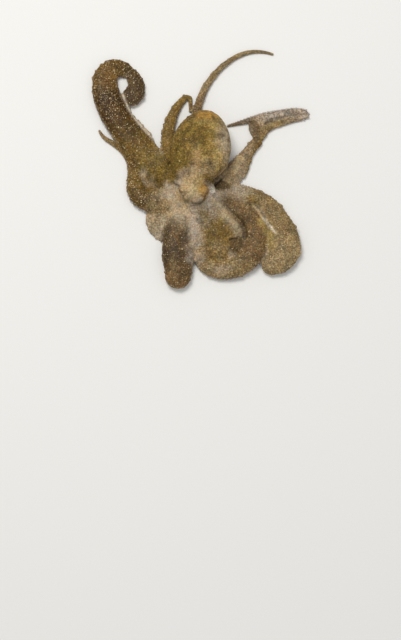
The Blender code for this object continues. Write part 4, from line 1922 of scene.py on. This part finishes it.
@dataclass(frozen=True)
class Flecks:
    """Small pale dots scattered over the skin, more where the density is higher."""

    name: str = "pale_flecks"
    least_size: float = 0.5  # smallest dot, as a part of the mean one
    least_bright: float = 0.3
    soft_edge: float = 0.6  # part of a dot over which it fades

    def group(self) -> Tree:
        """The node group, made once.

        Returns:
            A cell pattern with a dot at the centre of each cell whose random number is
            under the density.
        """
        if self.name in bpy.data.node_groups:
            return bpy.data.node_groups[self.name]
        g, given, result = new_group(self.name, ("Spacing", "Density", "Dot"), ("Mask",))
        scale = g.math("DIVIDE", per_metre(1.0), given.outputs["Spacing"])
        cells = g.node("ShaderNodeTexVoronoi", vector=given.outputs["Place"], scale=scale)
        pick = g.node("ShaderNodeSeparateColor", color=cells.outputs["Color"]).outputs
        shown = g.math("LESS_THAN", pick[0], given.outputs["Density"])
        size = g.product(given.outputs["Dot"], g.math("ADD", self.least_size, pick[1]))
        near = g.math("SUBTRACT", 1.0, g.math("DIVIDE", cells.outputs["Distance"], size))
        bright = g.math("ADD", self.least_bright, g.product(pick[2], 1.0 - self.least_bright))
        g.feed(result.inputs["Mask"], g.product(shown, bright, g.ramp(near, 0.0, self.soft_edge)))
        return g.tree


@dataclass(frozen=True)
class Net:
    """The dark net between pale cells that the skin's pigment makes."""

    name: str = "pigment_net"
    bend_detail: float = 2.0
    line: float = 0.32  # how far the net's lines fade into the cells
    cloud: tuple = (5.5, 3.0, 0.6)  # size, detail and roughness of the noise that breaks the net
    broken: tuple = (0.36, 0.62)
    grain: tuple = (0.95, 2.0, 0.65)
    hue: tuple = (4.0, 4.0, 0.7)

    def group(self) -> Tree:
        """The node group, made once.

        Returns:
            The edges of a cell pattern bent by noise, broken up where a wider noise is low,
            with a fine noise for grain and a wide one for hue.
        """
        if self.name in bpy.data.node_groups:
            return bpy.data.node_groups[self.name]
        g, given, result = new_group(self.name, ("Cell", "Bend"), ("Net", "Grain", "Hue"))
        place = given.outputs["Place"]
        scale = g.math("DIVIDE", per_metre(1.0), given.outputs["Cell"])
        bend = g.noise(place, scale, self.bend_detail).outputs["Color"]
        sized = g.node("ShaderNodeVectorMath", settings={"operation": "SCALE"})
        g.feed(sized.inputs[0], g.vector("SUBTRACT", bend, (0.5, 0.5, 0.5)))
        g.feed(sized.inputs["Scale"], g.math("DIVIDE", given.outputs["Bend"], scale))
        moved = g.vector("ADD", place, sized.outputs[0])
        edges = {"feature": "DISTANCE_TO_EDGE"}
        edge = g.node("ShaderNodeTexVoronoi", settings=edges, vector=moved, scale=scale)
        line = g.math("SUBTRACT", 1.0, g.ramp(edge.outputs["Distance"], 0.0, self.line))
        cloud, grain, hue = (
            g.noise(place, per_metre(size), detail, rough).outputs[0]
            for size, detail, rough in (self.cloud, self.grain, self.hue)
        )
        g.feed(result.inputs["Net"], g.product(line, g.ramp(cloud, *self.broken)))
        g.feed(result.inputs["Grain"], grain)
        g.feed(result.inputs["Hue"], hue)
        return g.tree


def new_material(name: str) -> tuple:
    """A material with an empty Principled shader.

    Args:
        name: Name of the material.

    Returns:
        The material, its graph and the shader node.
    """
    material = bpy.data.materials.new(name)
    material.use_nodes = True
    return material, Graph(material.node_tree), material.node_tree.nodes["Principled BSDF"]


@dataclass(frozen=True)
class SkinFinish:
    """Wet mottled skin: tones from the mesh, a dark net, pale flecks, fine grain and painted shade in
    creases.
    """

    net: tuple = (2.1, 0.9)  # size and bend of its cells
    net_dark: float = 0.9  # how far the net darkens the tone
    warm: tuple = (1.05, 0.99, 0.92)  # the tone's warmer and cooler patches
    cool: tuple = (0.93, 1.0, 1.03)
    hue_range: tuple = (0.38, 0.62)
    dark: tuple = (0.36, 0.33, 0.30)  # what the grain makes of the tone
    light: tuple = (1.42, 1.40, 1.36)
    grain_range: tuple = (0.34, 0.68)
    least_grain: float = 0.35  # part of the grain that is left where there is no net
    fleck_tone: tuple = (0.67, 0.51, 0.29)
    fleck_share: float = 0.88
    flecks: tuple = ((1.25, 0.29), (0.78, 0.36))  # (spacing, size) of the coarse and the fine
    fine_share: float = 0.6
    # Painted shade in the creases: its colour, and how much of it the deepest groove takes.
    fold_tone: tuple = (0.05, 0.032, 0.016)
    fold_share: float = 0.85
    roughness: tuple = (0.55, 0.75)
    surface: tuple = (  # the shader's own constants
        ("Coat Weight", 0.05), ("Coat Roughness", 0.3), ("IOR", 1.34), ("Specular IOR Level", 0.22),
    )
    bump: float = 0.35
    bump_depth: float = 0.35 * MM
    fleck_height: float = 0.5  # of flecks and net in the bump, as parts of the grain's
    net_depth: float = 0.4

    def grained(self, g: Graph, net: Node, strong: Socket) -> Socket:
        """The tone with its warm and cool patches, grain and net.

        Args:
            g: The material's graph.
            net: The net's node.
            strong: How dense the net is.

        Returns:
            The colour's socket.
        """
        tone = g.attribute("tone").outputs["Color"]
        patches = g.ramp(net.outputs["Hue"], *self.hue_range)
        tone = g.mix(patches, g.times(tone, self.cool), g.times(tone, self.warm))
        dark, light = g.times(tone, self.dark), g.times(tone, self.light)
        depth = g.math("ADD", self.least_grain, g.product(strong, 1.0 - self.least_grain))
        grain = g.ramp(net.outputs["Grain"], *self.grain_range)
        grained = g.mix(grain, g.mix(depth, tone, dark), g.mix(depth, tone, light))
        return g.mix(g.product(net.outputs["Net"], strong, self.net_dark), grained, dark)

    def material(self, name: str) -> bpy.types.Material:
        """Builds the finish.

        Args:
            name: Name of the material.

        Returns:
            The material: tone times grain and net, with flecks over it and painted shade in the creases.
        """
        material, g, shader = new_material(name)
        place, cell, bend = g.place(), *self.net
        net = g.group(Net().group(), place=place, cell=cell, bend=bend)
        density = g.value("flecks")
        coarse, fine = (
            g.group(Flecks().group(), place=place, spacing=gap, density=density, dot=dot)
            for gap, dot in self.flecks
        )
        coarse = coarse.outputs["Mask"]
        spots = g.math("MAXIMUM", coarse, g.product(fine.outputs["Mask"], self.fine_share))
        netted = self.grained(g, net, g.value("net"))
        spotted = g.mix(g.product(spots, self.fleck_share), netted, self.fleck_tone)
        # Painted shade darkens the colour in the creases' grooves.
        folded = g.mix(g.product(g.value("fold"), self.fold_share), spotted, self.fold_tone)
        g.feed(shader.inputs["Base Color"], folded)
        low, high = self.roughness
        rough = g.node("ShaderNodeMapRange", value=net.outputs["Grain"], to_min=low, to_max=high)
        g.feed(shader.inputs["Roughness"], rough.outputs[0])
        set_values(shader, self.surface)
        height = g.math("ADD", net.outputs["Grain"], g.product(coarse, self.fleck_height))
        height = g.math("SUBTRACT", height, g.product(net.outputs["Net"], self.net_depth))
        bump = g.node("ShaderNodeBump", height=height, distance=self.bump_depth, strength=self.bump)
        g.feed(shader.inputs["Normal"], bump.outputs[0])
        return material


@dataclass(frozen=True)
class SuckerFinish:
    """Pale, faintly grainy cups."""

    net: tuple = (1.2, 0.6)  # size and bend of the pattern's cells
    tone: tuple = (0.52, 0.45, 0.37)
    shade: tuple = (0.33, 0.27, 0.22)
    grain_range: tuple = (0.35, 0.65)
    surface: tuple = (("Roughness", 0.4), ("IOR", 1.38))
    bump_depth: float = 0.1 * MM

    def material(self, name: str) -> bpy.types.Material:
        """Builds the finish.

        Args:
            name: Name of the material.

        Returns:
            The material, its colour mixed from two tones by the grain.
        """
        material, g, shader = new_material(name)
        cell, bend = self.net
        grain = g.group(Net().group(), place=g.place(), cell=cell, bend=bend).outputs["Grain"]
        colour = g.mix(g.ramp(grain, *self.grain_range), self.shade, self.tone)
        g.feed(shader.inputs["Base Color"], colour)
        set_values(shader, self.surface)
        bump = g.node("ShaderNodeBump", height=grain, distance=self.bump_depth)
        g.feed(shader.inputs["Normal"], bump.outputs[0])
        return material


@dataclass(frozen=True)
class EyeFinish:
    """Gold iris with darker spokes, black slit, and a wet clear coat."""

    iris: tuple = (0.34, 0.17, 0.04)
    spokes: tuple = (0.10, 0.045, 0.012)
    white: tuple = (0.30, 0.20, 0.10)
    pupil: tuple = (0.006, 0.005, 0.005)
    streak: tuple = (0.5, 3.0)  # size and detail of the noise between the spokes
    streak_range: tuple = (0.35, 0.65)
    spoke_rate: float = 40.0  # how close the spokes are
    spoke_share: float = 0.22
    spoke_dark: float = 0.7
    surface: tuple = (
        ("Roughness", 0.18), ("Specular IOR Level", 0.3), ("Coat Weight", 0.6), ("Coat Roughness", 0.03),
    )

    def material(self, name: str) -> bpy.types.Material:
        """Builds the finish from the marks on the mesh.

        Args:
            name: Name of the material.

        Returns:
            The material.
        """
        material, g, shader = new_material(name)
        size, detail = self.streak
        streak = g.noise(g.place(), per_metre(size), detail).outputs[0]
        spoke = g.product(g.math("SINE", g.product(g.value("spoke"), self.spoke_rate)), self.spoke_share)
        share = g.math("ADD", spoke, g.ramp(streak, *self.streak_range))
        iris = g.mix(g.product(share, self.spoke_dark), self.iris, self.spokes)
        ball = g.mix(g.value("iris"), self.white, iris)
        g.feed(shader.inputs["Base Color"], g.mix(g.value("pupil"), ball, self.pupil))
        set_values(shader, self.surface)
        return material


# ---- floor, light and camera


@dataclass(frozen=True)
class Studio:
    """A plain pale floor, soft light from high up behind on the animal's right, and the camera."""

    floor_size: float = 6.0
    floor_tone: tuple = (0.74, 0.72, 0.68)
    floor_surface: tuple = (("Roughness", 0.9), ("Specular IOR Level", 0.2))
    sky: tuple = (("Color", (0.95, 0.97, 1.0, 1.0)), ("Strength", 0.62))
    lamps: tuple = (  # (name, place, power, width)
        ("key", (-0.28, 0.38, 1.0), 8.0, 0.5), ("fill", (0.6, -0.9, 0.9), 1.4, 1.2),
    )
    elevation: float = 70.2  # of the camera, seen from the animal
    distance: float = 1.082
    lens: float = 100.0
    aim: tuple = (-0.0001, -0.0955, 0.0)  # the floor point in the middle of the view

    def floor(self) -> None:
        """A flat square at z = 0, not attached to the body."""
        half = self.floor_size / 2 / MM
        corners = np.array(((-half, -half, 0), (half, -half, 0), (half, half, 0), (-half, half, 0.0)))
        floor = new_object("floor", Patch(corners, [[0, 1, 2, 3]]))
        material, g, shader = new_material("floor")
        g.feed(shader.inputs["Base Color"], self.floor_tone)
        set_values(shader, self.floor_surface)
        floor.data.materials.append(material)

    def lamp(self, name: str, place: tuple, power: float, size: float) -> None:
        """A square soft lamp that faces the animal.

        Args:
            name: Its name.
            place: Where it is, in metres.
            power: Its power in watts.
            size: Its width in metres.
        """
        light = bpy.data.lights.new(name, "AREA")
        light.energy, light.size = power, size
        lamp = bpy.data.objects.new(name, light)
        lamp.location = place
        lamp.rotation_euler = (-Vector(place)).to_track_quat("-Z", "Y").to_euler()
        bpy.context.scene.collection.objects.link(lamp)

    def camera(self) -> None:
        """The camera, which looks along +Y and down at the animal."""
        data = bpy.data.cameras.new("camera")
        data.lens = self.lens
        camera = bpy.data.objects.new("camera", data)
        bpy.context.scene.collection.objects.link(camera)
        tilt = math.radians(self.elevation)
        eye = Vector((self.aim[0], -self.distance * math.cos(tilt), self.distance * math.sin(tilt)))
        camera.location = eye
        camera.rotation_euler = (Vector(self.aim) - eye).to_track_quat("-Z", "Y").to_euler()
        bpy.context.scene.camera = camera

    def build(self) -> None:
        """Sets up floor, lamps, sky and camera."""
        self.floor()
        for lamp in self.lamps:
            self.lamp(*lamp)
        world = bpy.data.worlds.new("sky")
        world.use_nodes = True
        set_values(world.node_tree.nodes["Background"], self.sky)
        bpy.context.scene.world = world
        bpy.context.scene.view_settings.view_transform = "Standard"
        self.camera()


def main() -> None:
    """Builds skin, suckers, eyes and studio in order, and reports each piece."""
    logging.basicConfig(level=logging.INFO, format="%(message)s")
    pieces = [Skin().build(), Suckers().build()]
    pieces += [Eyeball(eye).build() for eye in EYES]
    for piece in pieces:
        triangles = sum(len(face.vertices) - 2 for face in piece.data.polygons)
        LOG.info("%s: %d triangles", piece.name, triangles)
    Studio().build()


if __name__ == "__main__":
    main()
